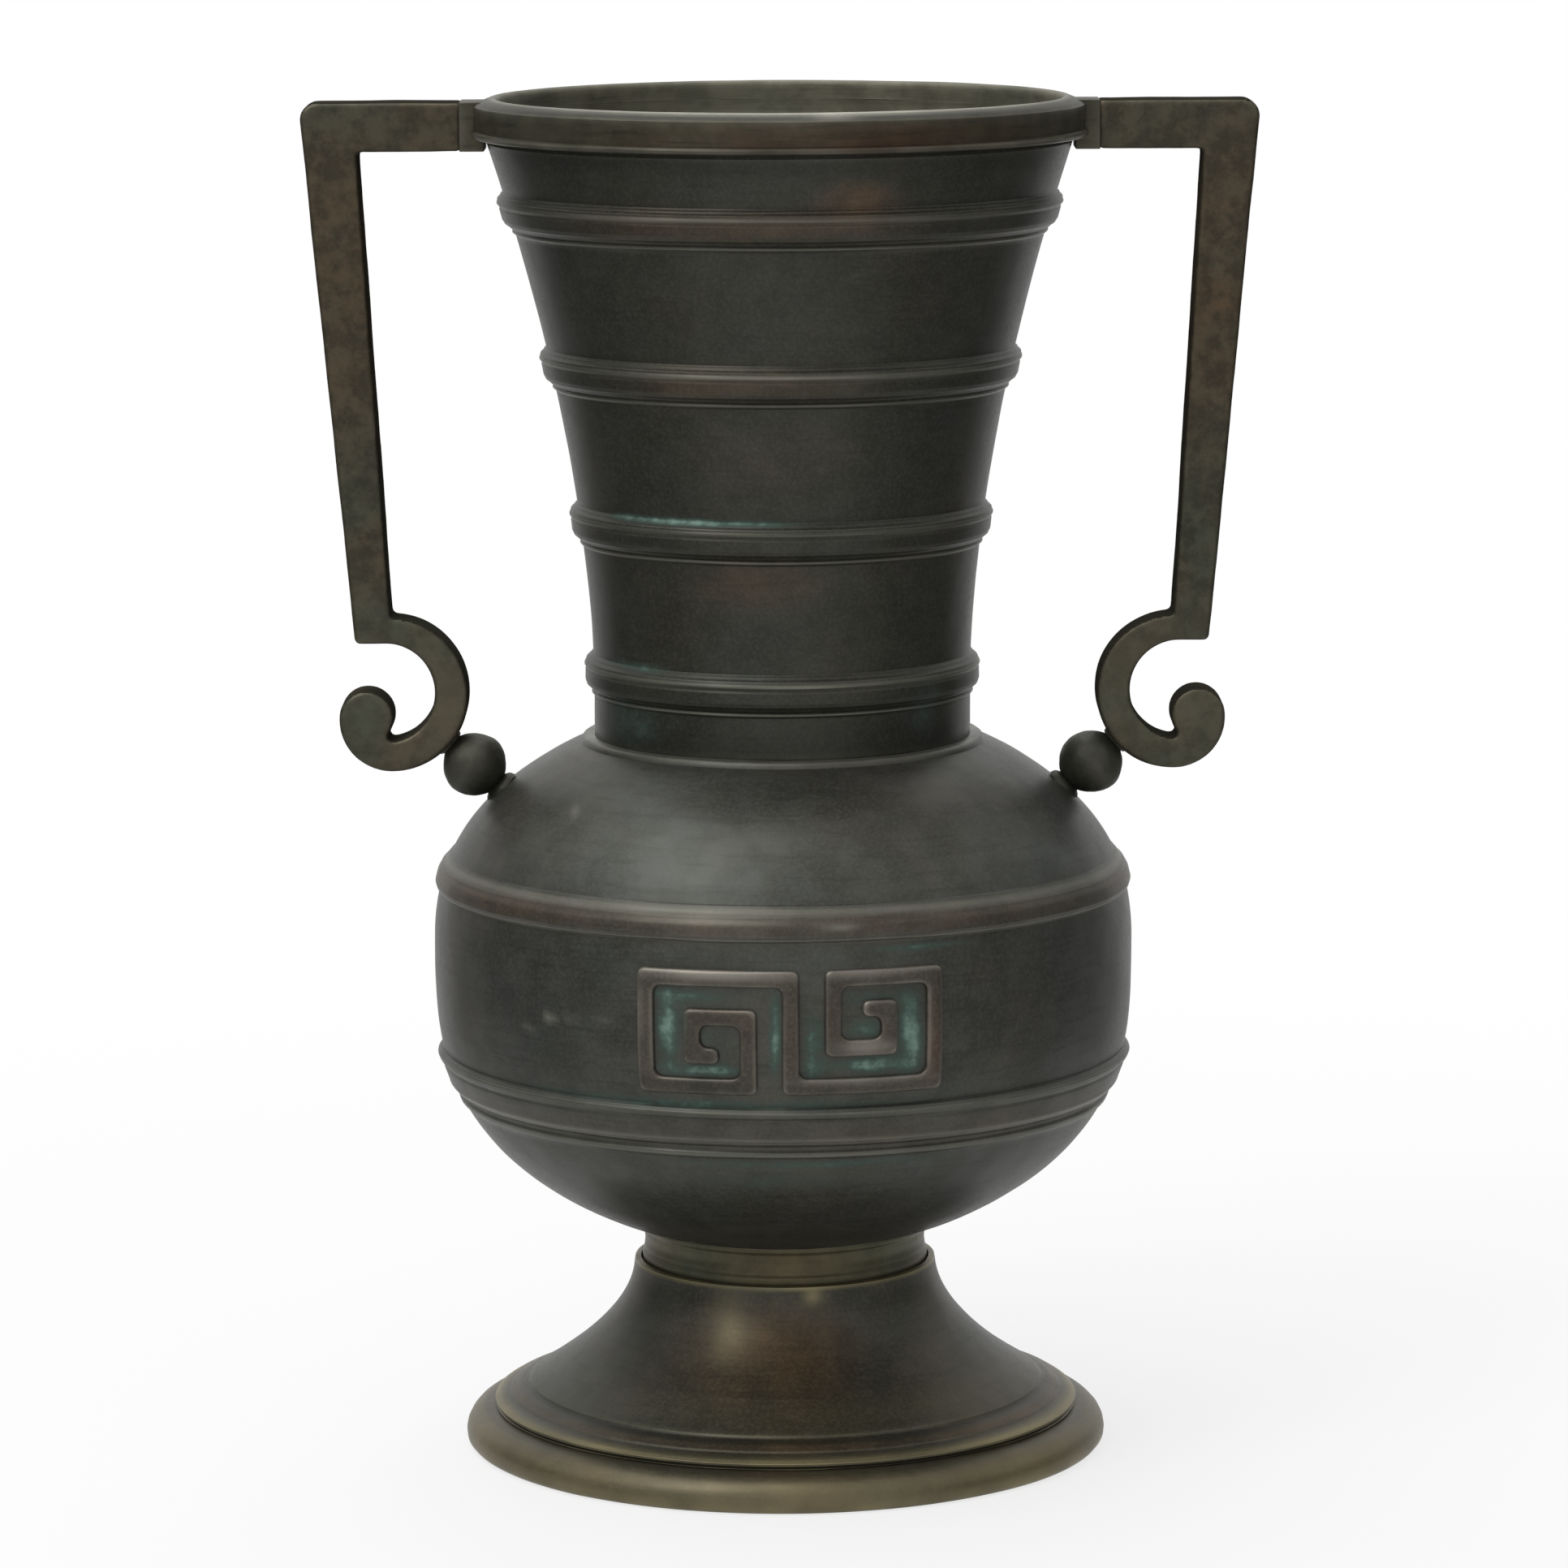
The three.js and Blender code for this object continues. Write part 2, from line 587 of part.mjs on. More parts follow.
// Bead: a bored ball with a short collar at each end, threaded on the stud between shoulder and scroll
function beadGeometry() {
  const bore = studRadius + clearance;
  const end = Math.acos(beadCollarRadius / beadRadius);
  const steps = 6;
  const ball = Array.from({ length: steps + 1 }, (_, i) => {
    const angle = -end + (2 * end * i) / steps;
    return [beadRadius * Math.cos(angle), beadRadius * Math.sin(angle)];
  });
  const outline = [
    [bore, -beadRadius],
    [beadCollarRadius, -beadRadius],
    ...ball,
    [beadCollarRadius, beadRadius],
    [bore, beadRadius],
  ];
  return turned(outline, beadSides)
    .rotateY(Math.PI / 2 - THREE.MathUtils.degToRad(studAngle))
    .translate(beadCentre.x, 0, beadCentre.y);
}

// Stud: rod through shoulder and bead into the scroll, with a flat head inside the belly
function studSolid() {
  const headFace = along(headSeat, studAngle, -clearance);
  const headStart = along(headFace, studAngle, -studHeadThickness);
  const head = bar(headStart, studAngle, studHeadThickness, studHeadRadius);
  const rod = bar(headFace, studAngle, headFace.distanceTo(studEnd), studRadius);
  const rootStart = along(headFace, studAngle, -0.5 * studHeadThickness);
  const root = bar(rootStart, studAngle, studHeadThickness, studRadius);
  return solidOf(head).add(solidOf(root)).add(solidOf(rod));
}

// Rim pin: ties arm, lug, rim and neck together
function rimPinGeometry() {
  return bar(new THREE.Vector2(pinStart, armMiddle), 0, armEnd + rimPinGrip - pinStart, rimPinRadius);
}

const finishes = {
  darkBronze: { color: 0x3a3a32, roughness: 0.55, metalness: 0.6 },
  brownBronze: { color: 0x453d31, roughness: 0.5, metalness: 0.65 },
  rubbedBronze: { color: 0x5c5340, roughness: 0.45, metalness: 0.75 },
};

function piece(name, geometry, finish, turn = 0) {
  const mesh = new THREE.Mesh(geometry, new THREE.MeshStandardMaterial(finishes[finish]));
  mesh.name = name;
  mesh.rotation.z = turn;
  return mesh;
}

const vase = new THREE.Group();
vase.add(piece("foot", footGeometry(), "rubbedBronze"));
vase.add(piece("stem_collar", stemGeometry(), "brownBronze"));
vase.add(piece("body", geometryOf(bodySolid()), "darkBronze"));
vase.add(piece("belly_floor", floorGeometry(), "darkBronze"));
vase.add(piece("neck", geometryOf(neckSolid()), "darkBronze"));
vase.add(piece("mouth_rim", geometryOf(rimSolid()), "brownBronze"));

// The two sides carry the same fittings, half a turn apart
for (const [side, turn] of [["right", 0], ["left", Math.PI]]) {
  vase.add(piece(`${side}_handle`, geometryOf(handleSolid()), "brownBronze", turn));
  vase.add(piece(`${side}_bead`, beadGeometry(), "darkBronze", turn));
  vase.add(piece(`${side}_stud`, geometryOf(studSolid()), "rubbedBronze", turn));
  vase.add(piece(`${side}_rim_pin`, rimPinGeometry(), "rubbedBronze", turn));
}

export default vase;
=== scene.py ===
# %% [markdown]
# A footed bronze vase with two scroll handles. The castings were modelled and packed first, at their real
# size. This script loads them as a fixed frame and makes the surfaces that the eye sees: fine turned
# mouldings, worn edges, the raised key fret and the patina. Everything is in metres, +Z is up, the vase
# stands on z = 0 and its front looks along -Y.

# %% Load the frame
import math

import bpy
import numpy as np
from mathutils import Matrix, Vector


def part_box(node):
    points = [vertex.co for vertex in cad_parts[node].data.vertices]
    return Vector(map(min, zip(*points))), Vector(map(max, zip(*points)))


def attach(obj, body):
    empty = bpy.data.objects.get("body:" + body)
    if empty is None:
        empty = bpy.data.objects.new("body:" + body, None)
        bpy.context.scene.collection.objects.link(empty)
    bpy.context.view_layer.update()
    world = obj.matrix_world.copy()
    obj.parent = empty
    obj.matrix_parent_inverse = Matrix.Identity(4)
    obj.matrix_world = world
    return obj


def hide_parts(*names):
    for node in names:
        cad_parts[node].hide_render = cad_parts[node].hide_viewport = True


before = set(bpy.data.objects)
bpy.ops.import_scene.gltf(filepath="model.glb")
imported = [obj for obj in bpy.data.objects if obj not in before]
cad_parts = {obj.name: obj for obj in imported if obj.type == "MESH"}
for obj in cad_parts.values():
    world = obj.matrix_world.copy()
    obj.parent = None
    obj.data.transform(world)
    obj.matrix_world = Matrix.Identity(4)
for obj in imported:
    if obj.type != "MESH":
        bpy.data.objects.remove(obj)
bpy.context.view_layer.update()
MM = 0.001
TURN_STEPS = 256
SMOOTH_ANGLE = math.radians(35)
MERGE = 0.01 * MM
CLEARANCE = 0.3 * MM

foot_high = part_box("foot")[1]
stem_low, stem_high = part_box("stem_collar")
body_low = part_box("body")[0]
neck_low, neck_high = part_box("neck")
rim_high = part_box("mouth_rim")[1]
handle_low, handle_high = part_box("right_handle")
bead_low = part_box("right_bead")[0]

# %% [markdown]
# Most of this vase was turned on a lathe after casting, so most of its pieces are one outline spun round.
# In Blender the same thing is done with a single vertex: it is extruded from point to point up the wall,
# and the spin operator sweeps the line about the axis. A screw modifier on a curve gives the same surface,
# but hides the step where the seam is welded and the normals are turned outwards.


# %% A lathe
def start_clean():
    """Leave object mode and select nothing, so that the next operator touches only its own piece."""
    if bpy.context.object and bpy.context.object.mode != "OBJECT":
        bpy.ops.object.mode_set(mode="OBJECT")
    bpy.ops.object.select_all(action="DESELECT")


def only(piece):
    """Select one piece and make it active."""
    start_clean()
    piece.select_set(True)
    bpy.context.view_layer.objects.active = piece


def draw_line(name, points):
    """One vertex extruded from point to point through a list of (x, y, z)."""
    start_clean()
    bpy.ops.mesh.primitive_plane_add(size=MM)
    piece = bpy.context.object
    piece.name = name
    bpy.ops.object.mode_set(mode="EDIT")
    bpy.ops.mesh.merge(type="CENTER")
    bpy.ops.transform.translate(value=points[0])
    for before, after in zip(points, points[1:]):
        step = Vector(after) - Vector(before)
        bpy.ops.mesh.extrude_region_move(TRANSFORM_OT_translate={"value": step})
    return piece


def all_outwards():
    """Turn every face of a closed shell outwards and leave edit mode."""
    bpy.ops.mesh.select_all(action="SELECT")
    bpy.ops.mesh.normals_make_consistent(inside=False)
    bpy.ops.object.mode_set(mode="OBJECT")


def turned(name, outline, steps=TURN_STEPS):
    """Spin a closed outline of (radius, height) about the axis of the vase."""
    closed = [*outline, outline[0]]
    piece = draw_line(name, [(radius, 0, height) for radius, height in closed])
    bpy.ops.mesh.select_all(action="SELECT")
    bpy.ops.mesh.spin(steps=steps, angle=math.tau, center=(0, 0, 0), axis=(0, 0, 1))
    bpy.ops.mesh.select_all(action="SELECT")
    bpy.ops.mesh.remove_doubles(threshold=MERGE)
    all_outwards()
    bpy.ops.object.shade_smooth_by_angle(angle=SMOOTH_ANGLE)
    print(name, "turned,", len(piece.data.polygons), "faces")
    return piece


# %% [markdown]
# A moulding is a small raised profile on a wall. Each one is written as a list of pairs: how far up from
# its lower edge, and how far it stands proud. Between two pairs the surface eases in and out, as a file and
# the polishing wheel leave it, so no corner is as sharp as a drawn line.


# %% Walls and mouldings
def eased(pairs, at):
    """Height of a moulding `at` a distance up from its lower edge, eased between its pairs."""
    for (low, here), (high, there) in zip(pairs, pairs[1:]):
        if at <= high:
            share = (at - low) / (high - low)
            return here + (there - here) * share * share * (3 - 2 * share)
    return pairs[-1][1]


def wall(radius_at, low, high, step=0.8 * MM):
    """Points (radius, height) up a plain stretch of wall, without its top point."""
    count = max(1, round((high - low) / step))
    heights = [low + (high - low) * i / count for i in range(count)]
    return [(radius_at(height), height) for height in heights]


def moulded(radius_at, low, pairs, step=0.16 * MM):
    """Points up a moulding that starts at height `low`, without its top point."""
    tall = pairs[-1][0] * MM
    count = max(1, round(tall / step))
    heights = [tall * i / count for i in range(count)]
    return [(radius_at(low + h) + eased(pairs, h / MM) * MM, low + h) for h in heights]


# %% [markdown]
# The body is the largest casting, a globe that is fuller below than above. A scaled sphere would be equally
# round all over, so it is drawn with two superellipses that share the widest line: the powers say how
# square each shoulder is. The frame gives its levels.

# %% Body outline
BODY_RADIUS = 64.5 * MM
BODY_WALL = 3.0 * MM
BELLY_BOTTOM = stem_high.z + CLEARANCE
WIDEST = BELLY_BOTTOM + 52.4 * MM
CROWN_EDGE = WIDEST + 38.0 * MM
NECK_SEAT = CROWN_EDGE + 1.0 * MM
BELLY_FOOT_RADIUS = 28.0 * MM
CROWN_RADIUS = 37.1 * MM
UNDERSIDE_POWERS = (2.94, 1.69)
CROWN_POWERS = (2.45, 1.73)


def semi_height(run, end_radius, powers):
    """Height of the superellipse that reaches `end_radius` after `run`."""
    rise, turn = powers
    return run / (1 - (end_radius / BODY_RADIUS) ** turn) ** (1 / rise)


UNDERSIDE_SEMI = semi_height(WIDEST - BELLY_BOTTOM, BELLY_FOOT_RADIUS, UNDERSIDE_POWERS)
CROWN_SEMI = semi_height(CROWN_EDGE - WIDEST, CROWN_RADIUS, CROWN_POWERS)


def body_radius(height, inset=0.0):
    """Radius of the body's wall, or of its inside face when an inset is given."""
    semi, powers = (UNDERSIDE_SEMI, UNDERSIDE_POWERS) if height < WIDEST else (CROWN_SEMI, CROWN_POWERS)
    rise, turn = powers
    share = min(1.0, abs(height - WIDEST) / (semi - inset))
    return (BODY_RADIUS - inset) * (1 - share**rise) ** (1 / turn)


def body_inside(height):
    return body_radius(height, BODY_WALL)


BELLY_BAND = [(0, 0), (0.5, 0.1), (1.1, 0.45), (1.7, 0.4), (2.3, -0.15), (2.9, -0.2), (3.6, 0.5), (4.4, 0.85),
              (5.2, 0.8), (7.6, 0.85), (8.3, 0.75), (8.9, 1.2), (9.6, 1.3), (10.2, 0.75), (10.7, 0)]
SHOULDER_BAND = [(0, 0), (0.5, 0.05), (1.1, 0.8), (1.9, 1.2), (3.6, 1.3), (4.9, 1.1), (5.9, 0.6), (6.5, 0.35),
                 (6.8, 0.3), (7.0, 0)]
BELLY_BAND_BOTTOM = WIDEST - 29.4 * MM
SHOULDER_BAND_BOTTOM = WIDEST + 10.3 * MM

# %% Turn the body
spigot_radius = 20.7 * MM
floor_ledge = 1.6 * MM
floor_sink = 2.1 * MM
floor_radius = 24.6 * MM
opening = 32.3 * MM
spigot_wall = 3.2 * MM
bore = spigot_radius - spigot_wall
band_top = BELLY_BAND_BOTTOM + BELLY_BAND[-1][0] * MM
shoulder_top = SHOULDER_BAND_BOTTOM + SHOULDER_BAND[-1][0] * MM
inside_high = next(
    height for radius, height in wall(body_inside, WIDEST, CROWN_EDGE, 0.2 * MM)
    if radius < opening + 1 * MM
)
recess = BELLY_BOTTOM + floor_ledge + floor_sink
inside = wall(body_inside, recess, inside_high, 1.6 * MM)
body = turned("body_casting", [
    (bore, body_low.z),
    (spigot_radius, body_low.z),
    (spigot_radius, BELLY_BOTTOM),
    (BELLY_FOOT_RADIUS - 0.4 * MM, BELLY_BOTTOM),
    *wall(body_radius, BELLY_BOTTOM + 0.3 * MM, BELLY_BAND_BOTTOM),
    *moulded(body_radius, BELLY_BAND_BOTTOM, BELLY_BAND),
    *wall(body_radius, band_top, SHOULDER_BAND_BOTTOM),
    *moulded(body_radius, SHOULDER_BAND_BOTTOM, SHOULDER_BAND),
    *wall(body_radius, shoulder_top, CROWN_EDGE - 0.4 * MM, 0.6 * MM),
    (CROWN_RADIUS + 0.15 * MM, CROWN_EDGE - 0.2 * MM),
    (CROWN_RADIUS, CROWN_EDGE + 0.3 * MM),
    (CROWN_RADIUS - 0.3 * MM, NECK_SEAT - 0.25 * MM),
    (CROWN_RADIUS - 0.7 * MM, NECK_SEAT),
    (opening, NECK_SEAT),
    *reversed(inside),
    (floor_radius, recess),
    (floor_radius, BELLY_BOTTOM + floor_ledge),
    (bore, BELLY_BOTTOM + floor_ledge),
])

# %% [markdown]
# The neck flares like a trumpet from a straight foot, and four mouldings run round it. Each has a sloping
# shoulder that catches the light, an upright face, a cove under it and one fine ridge below the cove. The
# flare could be a spline, but as a power curve it has one number that says how late it opens.

# %% Turn the neck
NECK_RADIUS = 34.6 * MM
NECK_WALL = 2.7 * MM
SEAM = 0.08 * MM
HAIRLINE = 0.01 * MM
NECK_BASE = NECK_SEAT + SEAM
RIM_BOTTOM = rim_high.z - 7.2 * MM
NECK_FLARE = 19.1 * MM
NECK_POWER = 1.76
NECK_STRAIGHT = 9.0 * MM
BAND_TOPS = [NECK_SEAT + 15.5 * MM, NECK_SEAT + 43.2 * MM, RIM_BOTTOM - 38.0 * MM, RIM_BOTTOM - 9.7 * MM]
NECK_BAND = [(0, 0), (0.15, 0.15), (0.45, 0.5), (0.75, 0.42), (0.95, 0.25), (1.5, 0.75), (2.2, 1.45),
             (2.9, 1.65), (4.7, 1.6), (4.95, 1.42), (5.2, 1.5), (5.7, 1.75), (6.5, 1.4), (7.3, 0.6),
             (7.75, 0.12), (7.9, 0)]


def neck_radius(height):
    start = NECK_SEAT + NECK_STRAIGHT
    share = max(0.0, (height - start) / (RIM_BOTTOM - start))
    return NECK_RADIUS + NECK_FLARE * share**NECK_POWER


def neck_inside(height):
    return neck_radius(height) - NECK_WALL


mouth_radius = 51.3 * MM
neck_step = 0.6 * MM
spigot_step = 2.6 * MM
seat_top = neck_high.z + CLEARANCE
outside = []
level = NECK_BASE
for top in BAND_TOPS:
    bottom = top - NECK_BAND[-1][0] * MM
    outside += wall(neck_radius, level, bottom)
    outside += moulded(neck_radius, bottom, NECK_BAND)
    level = top
outside += wall(neck_radius, level, RIM_BOTTOM - SEAM)
neck_top_radius = neck_radius(RIM_BOTTOM) - neck_step
neck = turned("neck_casting", [
    (NECK_RADIUS - spigot_step - NECK_WALL, neck_low.z),
    (NECK_RADIUS - spigot_step, neck_low.z),
    (NECK_RADIUS - spigot_step, NECK_BASE),
    *outside,
    (neck_top_radius, RIM_BOTTOM - SEAM),
    (neck_top_radius, seat_top - HAIRLINE),
    (mouth_radius, seat_top - HAIRLINE),
    (mouth_radius, neck_high.z + 0.1 * MM),
    (mouth_radius, RIM_BOTTOM),
    *reversed(wall(neck_inside, NECK_BASE + 2 * MM, RIM_BOTTOM - 2 * MM, 1.6 * MM)),
])

# %% [markdown]
# The foot repeats the neck upside down: a bell that sweeps out to a rolled ring. Inside, it is hollow up to
# the web that the stem collar stands on, and only the flat underside of the ring touches the table. The
# inner face is the outer curve moved inwards, as the core of a casting follows its mould.

# %% Turn the foot and the stem collar
BASE_RADIUS = foot_high.x
ROLL_HEIGHT = 7.1 * MM
BASE_TOP = 9.5 * MM
FOOT_TOP_RADIUS = 28.0 * MM
FOOT_POWER = 1.94
FOOT_WALL = 3.2 * MM
STAND_INSET = 6.0 * MM
SKIRT_INSET = 8.3 * MM
skirt_flare = BASE_RADIUS - SKIRT_INSET - FOOT_TOP_RADIUS
BASE_STEP = [(0, -1.7), (0.35, -1.5), (0.75, -0.1), (1.1, 0.5), (1.6, 0.62), (2.0, 0.15), (2.25, -0.15),
             (2.55, 0.1), (3.4, 0.1), (3.75, -0.45), (4.05, -0.45), (4.6, 0)]
STEP_TOP = ROLL_HEIGHT + BASE_STEP[-1][0] * MM
ROLL = [(57.9, 0.0), (58.9, 0.35), (59.5, 1.1), (59.6, 2.2), (59.35, 3.4), (58.8, 4.5), (57.9, 5.5),
        (56.6, 6.3), (54.8, 6.85), (52.6, 7.05)]


def foot_radius(height):
    share = max(0.0, (foot_high.z - height) / (foot_high.z - BASE_TOP))
    return FOOT_TOP_RADIUS + skirt_flare * share**FOOT_POWER


def foot_inside(height):
    return foot_radius(height) - FOOT_WALL


recess_radius = 26.8 * MM
recess_floor = stem_low.z - CLEARANCE
web_thickness = 3.0 * MM
web_bottom = recess_floor - web_thickness
foot_bore = spigot_radius + CLEARANCE
stand_inner = BASE_RADIUS - STAND_INSET
foot = turned("foot_casting", [
    (stand_inner, 0),
    *[(radius * MM, height * MM) for radius, height in ROLL],
    *moulded(foot_radius, ROLL_HEIGHT, BASE_STEP),
    *wall(foot_radius, STEP_TOP, foot_high.z - 0.4 * MM, 0.5 * MM),
    (FOOT_TOP_RADIUS - 0.1 * MM, foot_high.z - 0.15 * MM),
    (FOOT_TOP_RADIUS - 0.4 * MM, foot_high.z),
    (recess_radius, foot_high.z),
    (recess_radius, recess_floor),
    (foot_bore, recess_floor),
    (foot_bore, web_bottom),
    *reversed(wall(foot_inside, BASE_TOP, web_bottom, 1.2 * MM)),
    (stand_inner, 0.4 * BASE_TOP),
])

STEM_RADIUS = 26.5 * MM
STEM_WAIST = [(0, 0), (1.0, 0), (1.9, -0.35), (3.5, -0.5), (5.2, -0.35), (6.2, 0), (6.8, 0)]
stem = turned("stem_collar_casting", [
    (foot_bore, stem_low.z),
    (STEM_RADIUS, stem_low.z),
    *moulded(lambda height: STEM_RADIUS, foot_high.z, STEM_WAIST),
    (STEM_RADIUS, BELLY_BOTTOM - SEAM),
    (foot_bore, BELLY_BOTTOM - SEAM),
])

# %% [markdown]
# The mouth rim is a ring with a fine bead under it and a lip that slopes outwards, so the near lip catches
# the light and the far lip shows only its edge. Its section is written once, from the bottom round to the
# inside wall, as steps out from its radius and up from its underside. At each side a lug stands out of it,
# and the handle's arm is set against the lug. A lug can't be turned, so each is a box with filed edges,
# welded to the ring by a boolean.

# %% Turn the mouth rim and weld its lugs
RIM_RADIUS = 56.0 * MM
RIM_SECTION = [(-0.45, 0), (0.1, 0.25), (0.3, 0.7), (0.15, 1.15), (-0.45, 1.4), (-0.5, 1.7), (-0.35, 3.5),
               (-0.25, 5.3), (-0.35, 5.75), (-0.8, 6.15), (-1.5, 6.4), (-2.6, 6.85), (-3.2, 7.1), (-3.7, 7.2),
               (-4.2, 7.1), (-4.5, 6.8), (-4.66, 6.3), (-4.7, 5.6), (-4.7, 4.4), (-4.7, 3.8)]
seat_radius = neck_top_radius + CLEARANCE
rim = turned("mouth_rim_casting", [
    (seat_radius, RIM_BOTTOM),
    *[(RIM_RADIUS + out * MM, RIM_BOTTOM + up * MM) for out, up in RIM_SECTION],
    (mouth_radius, seat_top),
    (seat_radius, seat_top),
])


def apply(piece, kind, name, **settings):
    """Add a modifier, set it and apply it at once."""
    only(piece)
    modifier = piece.modifiers.new(name, kind)
    for key, value in settings.items():
        setattr(modifier, key, value)
    bpy.ops.object.modifier_apply(modifier=modifier.name)


def block(name, low, high, bevel):
    """A box between two corners with filed edges."""
    start_clean()
    centre = [(a + b) / 2 for a, b in zip(low, high)]
    bpy.ops.mesh.primitive_cube_add(size=1, location=centre, scale=[b - a for a, b in zip(low, high)])
    piece = bpy.context.object
    piece.name = name
    bpy.ops.object.transform_apply(location=True, rotation=True, scale=True)
    apply(piece, "BEVEL", "filed edges", width=bevel, segments=3)
    return piece


def weld(piece, addition):
    """Join another object to a piece, and remove it."""
    apply(piece, "BOOLEAN", "weld", operation="UNION", object=addition, solver="EXACT")
    bpy.data.objects.remove(addition)


ARM_DEPTH = 8.9 * MM
LUG_PROUD = 0.05 * MM
arm_low, arm_high = handle_high.z - ARM_DEPTH, handle_high.z
lug_half = handle_high.y + 0.08 * MM
for side in (1, -1):
    ends = sorted((side * (seat_radius + 0.2 * MM), side * rim_high.x))
    low = (ends[0], -lug_half, arm_low - LUG_PROUD)
    high = (ends[1], lug_half, arm_high + LUG_PROUD)
    weld(rim, block("lug", low, high, 0.25 * MM))
only(rim)
bpy.ops.object.shade_smooth_by_angle(angle=SMOOTH_ANGLE)
print("rim with lugs,", len(rim.data.polygons), "faces")

# %% [markdown]
# The handle is one casting of square section: a level arm, a leg that tapers downwards and a scroll that
# curls under the leg and ends in a round eye. A square section swept along a curve would pinch where the
# leg runs into the scroll. So the outline is drawn with straight lines and arcs, filled, extruded to its
# depth and bevelled, and a voxel remesh melts all of it into one even skin that can be smoothed like worn
# metal.

# %% Where the bead and the scroll sit
STUD_ANGLE = math.radians(42)
STUD_DROP = 10.2 * MM
BEAD_RADIUS = 5.75 * MM
BEAD_STAND = 0.9 * MM
SCROLL_RADIUS = 14.2 * MM
SCROLL_STROKE = 5.5 * MM
CURL_RADIUS = 9.1 * MM
CURL_OUT = 1.0 * MM
NOTCH_ROUND = 0.9 * MM
EYE_RADIUS = 5.0 * MM
EYE_OUT = 4.5 * MM
EYE_RAISE = 0.4 * MM
ARM_CORNER = 3.0 * MM
LEG_OUT = 6.4 * MM
LEG_FOOT_WIDTH = 6.6 * MM
LEG_TOP_WIDTH = 10.3 * MM
stud_line = Vector((math.cos(STUD_ANGLE), 0, math.sin(STUD_ANGLE)))
stud_level = NECK_SEAT - STUD_DROP
stud_foot = Vector((body_radius(stud_level), 0, stud_level))
bead_centre = stud_foot + stud_line * (BEAD_STAND + BEAD_RADIUS)
scroll_centre = bead_centre + stud_line * (BEAD_RADIUS + CLEARANCE + SCROLL_RADIUS)
print("bead at", bead_centre, "scroll at", scroll_centre)


# %% Draw the handle
def arc(centre, radius, start, end, count=24):
    """Points along an arc in the XZ plane, angles in degrees."""
    angles = [math.radians(start + (end - start) * i / count) for i in range(count + 1)]
    return [(centre[0] + radius * math.cos(a), 0, centre[1] + radius * math.sin(a)) for a in angles]


def crossing(first, first_radius, second, second_radius):
    """Where two circles cross, on the right of the way from the first centre to the second."""
    way = second - first
    apart = way.length
    run = (first_radius**2 - second_radius**2 + apart**2) / (2 * apart)
    aside = math.sqrt(first_radius**2 - run**2)
    way.normalize()
    return first + run * way + aside * Vector((way.y, -way.x))


def bearing(start, end):
    """Direction from one point to another in degrees, from 0 to 360."""
    return math.degrees(math.atan2(end.y - start.y, end.x - start.x)) % 360


def handle_outline():
    """The outline of arm, leg and scroll, anticlockwise seen from the front."""
    reach, arm_end = handle_high.x, handle_low.x
    x, z = scroll_centre.x, scroll_centre.z
    scroll_bottom = z - SCROLL_RADIUS
    leg_outer = x + LEG_OUT
    leg_inner = leg_outer - LEG_FOOT_WIDTH
    meets = math.degrees(math.acos((leg_inner - x) / SCROLL_RADIUS))
    sweep = EYE_OUT + EYE_RADIUS
    eye = Vector((x + EYE_OUT, scroll_bottom + sweep + EYE_RAISE))
    curl = Vector((x + CURL_OUT, scroll_bottom + SCROLL_STROKE + CURL_RADIUS))
    notch = crossing(curl, CURL_RADIUS - NOTCH_ROUND, eye, EYE_RADIUS + NOTCH_ROUND)
    return [
        (arm_end, 0, arm_low),
        (reach - LEG_TOP_WIDTH, 0, arm_low),
        *arc((x, z), SCROLL_RADIUS, meets, 270, 48),
        *arc((x, scroll_bottom + sweep), sweep, 270, 360)[1:],
        *arc(eye, EYE_RADIUS, 0, bearing(eye, notch)),
        *arc(notch, NOTCH_ROUND, bearing(notch, eye), bearing(curl, notch) - 360, 10)[1:],
        *arc(curl, CURL_RADIUS, bearing(curl, notch), 90, 30)[1:],
        (leg_outer, 0, curl.y + CURL_RADIUS),
        *arc((reach - ARM_CORNER, arm_high - ARM_CORNER), ARM_CORNER, 0, 90, 8),
        (arm_end, 0, arm_high),
    ]


def fill_outline():
    """Weld a drawn outline where it closes, and fill it with one face."""
    bpy.ops.mesh.select_all(action="SELECT")
    bpy.ops.mesh.remove_doubles(threshold=MERGE)
    bpy.ops.mesh.edge_face_add()


outline = handle_outline()
right_handle = draw_line("right_handle_casting", [*outline, outline[0]])
fill_outline()
half_depth = handle_high.y
bpy.ops.transform.translate(value=(0, -half_depth, 0))
bpy.ops.mesh.extrude_region_move(TRANSFORM_OT_translate={"value": (0, 2 * half_depth, 0)})
all_outwards()
apply(right_handle, "BEVEL", "chamfer", width=0.7 * MM, segments=2, limit_method="ANGLE")
apply(right_handle, "REMESH", "one skin", mode="VOXEL", voxel_size=0.4 * MM)
apply(right_handle, "SMOOTH", "worn", factor=0.5, iterations=4)
only(right_handle)
bpy.ops.object.shade_smooth()
print("handle,", len(right_handle.data.polygons), "faces")

# %% [markdown]
# The bead under each scroll is not a true ball: it is a little fuller at its waist, and it ends in short
# collars that seat it on the shoulder and under the scroll. A sphere would have no seats, so it is turned
# like the big castings, but round the slanting line of its stud.

# %% Turn the bead
BEAD_WAIST = 6.0
BEAD_POWER = 1.8
BORE = 1.8 * MM
SHOULDER_COLLAR = [(-6.9, 3.5), (-6.3, 3.3), (-5.7, 2.9), (-5.2, 0.0)]
SCROLL_COLLAR = [(5.2, 0.0), (5.6, 2.6), (6.15, 2.8)]


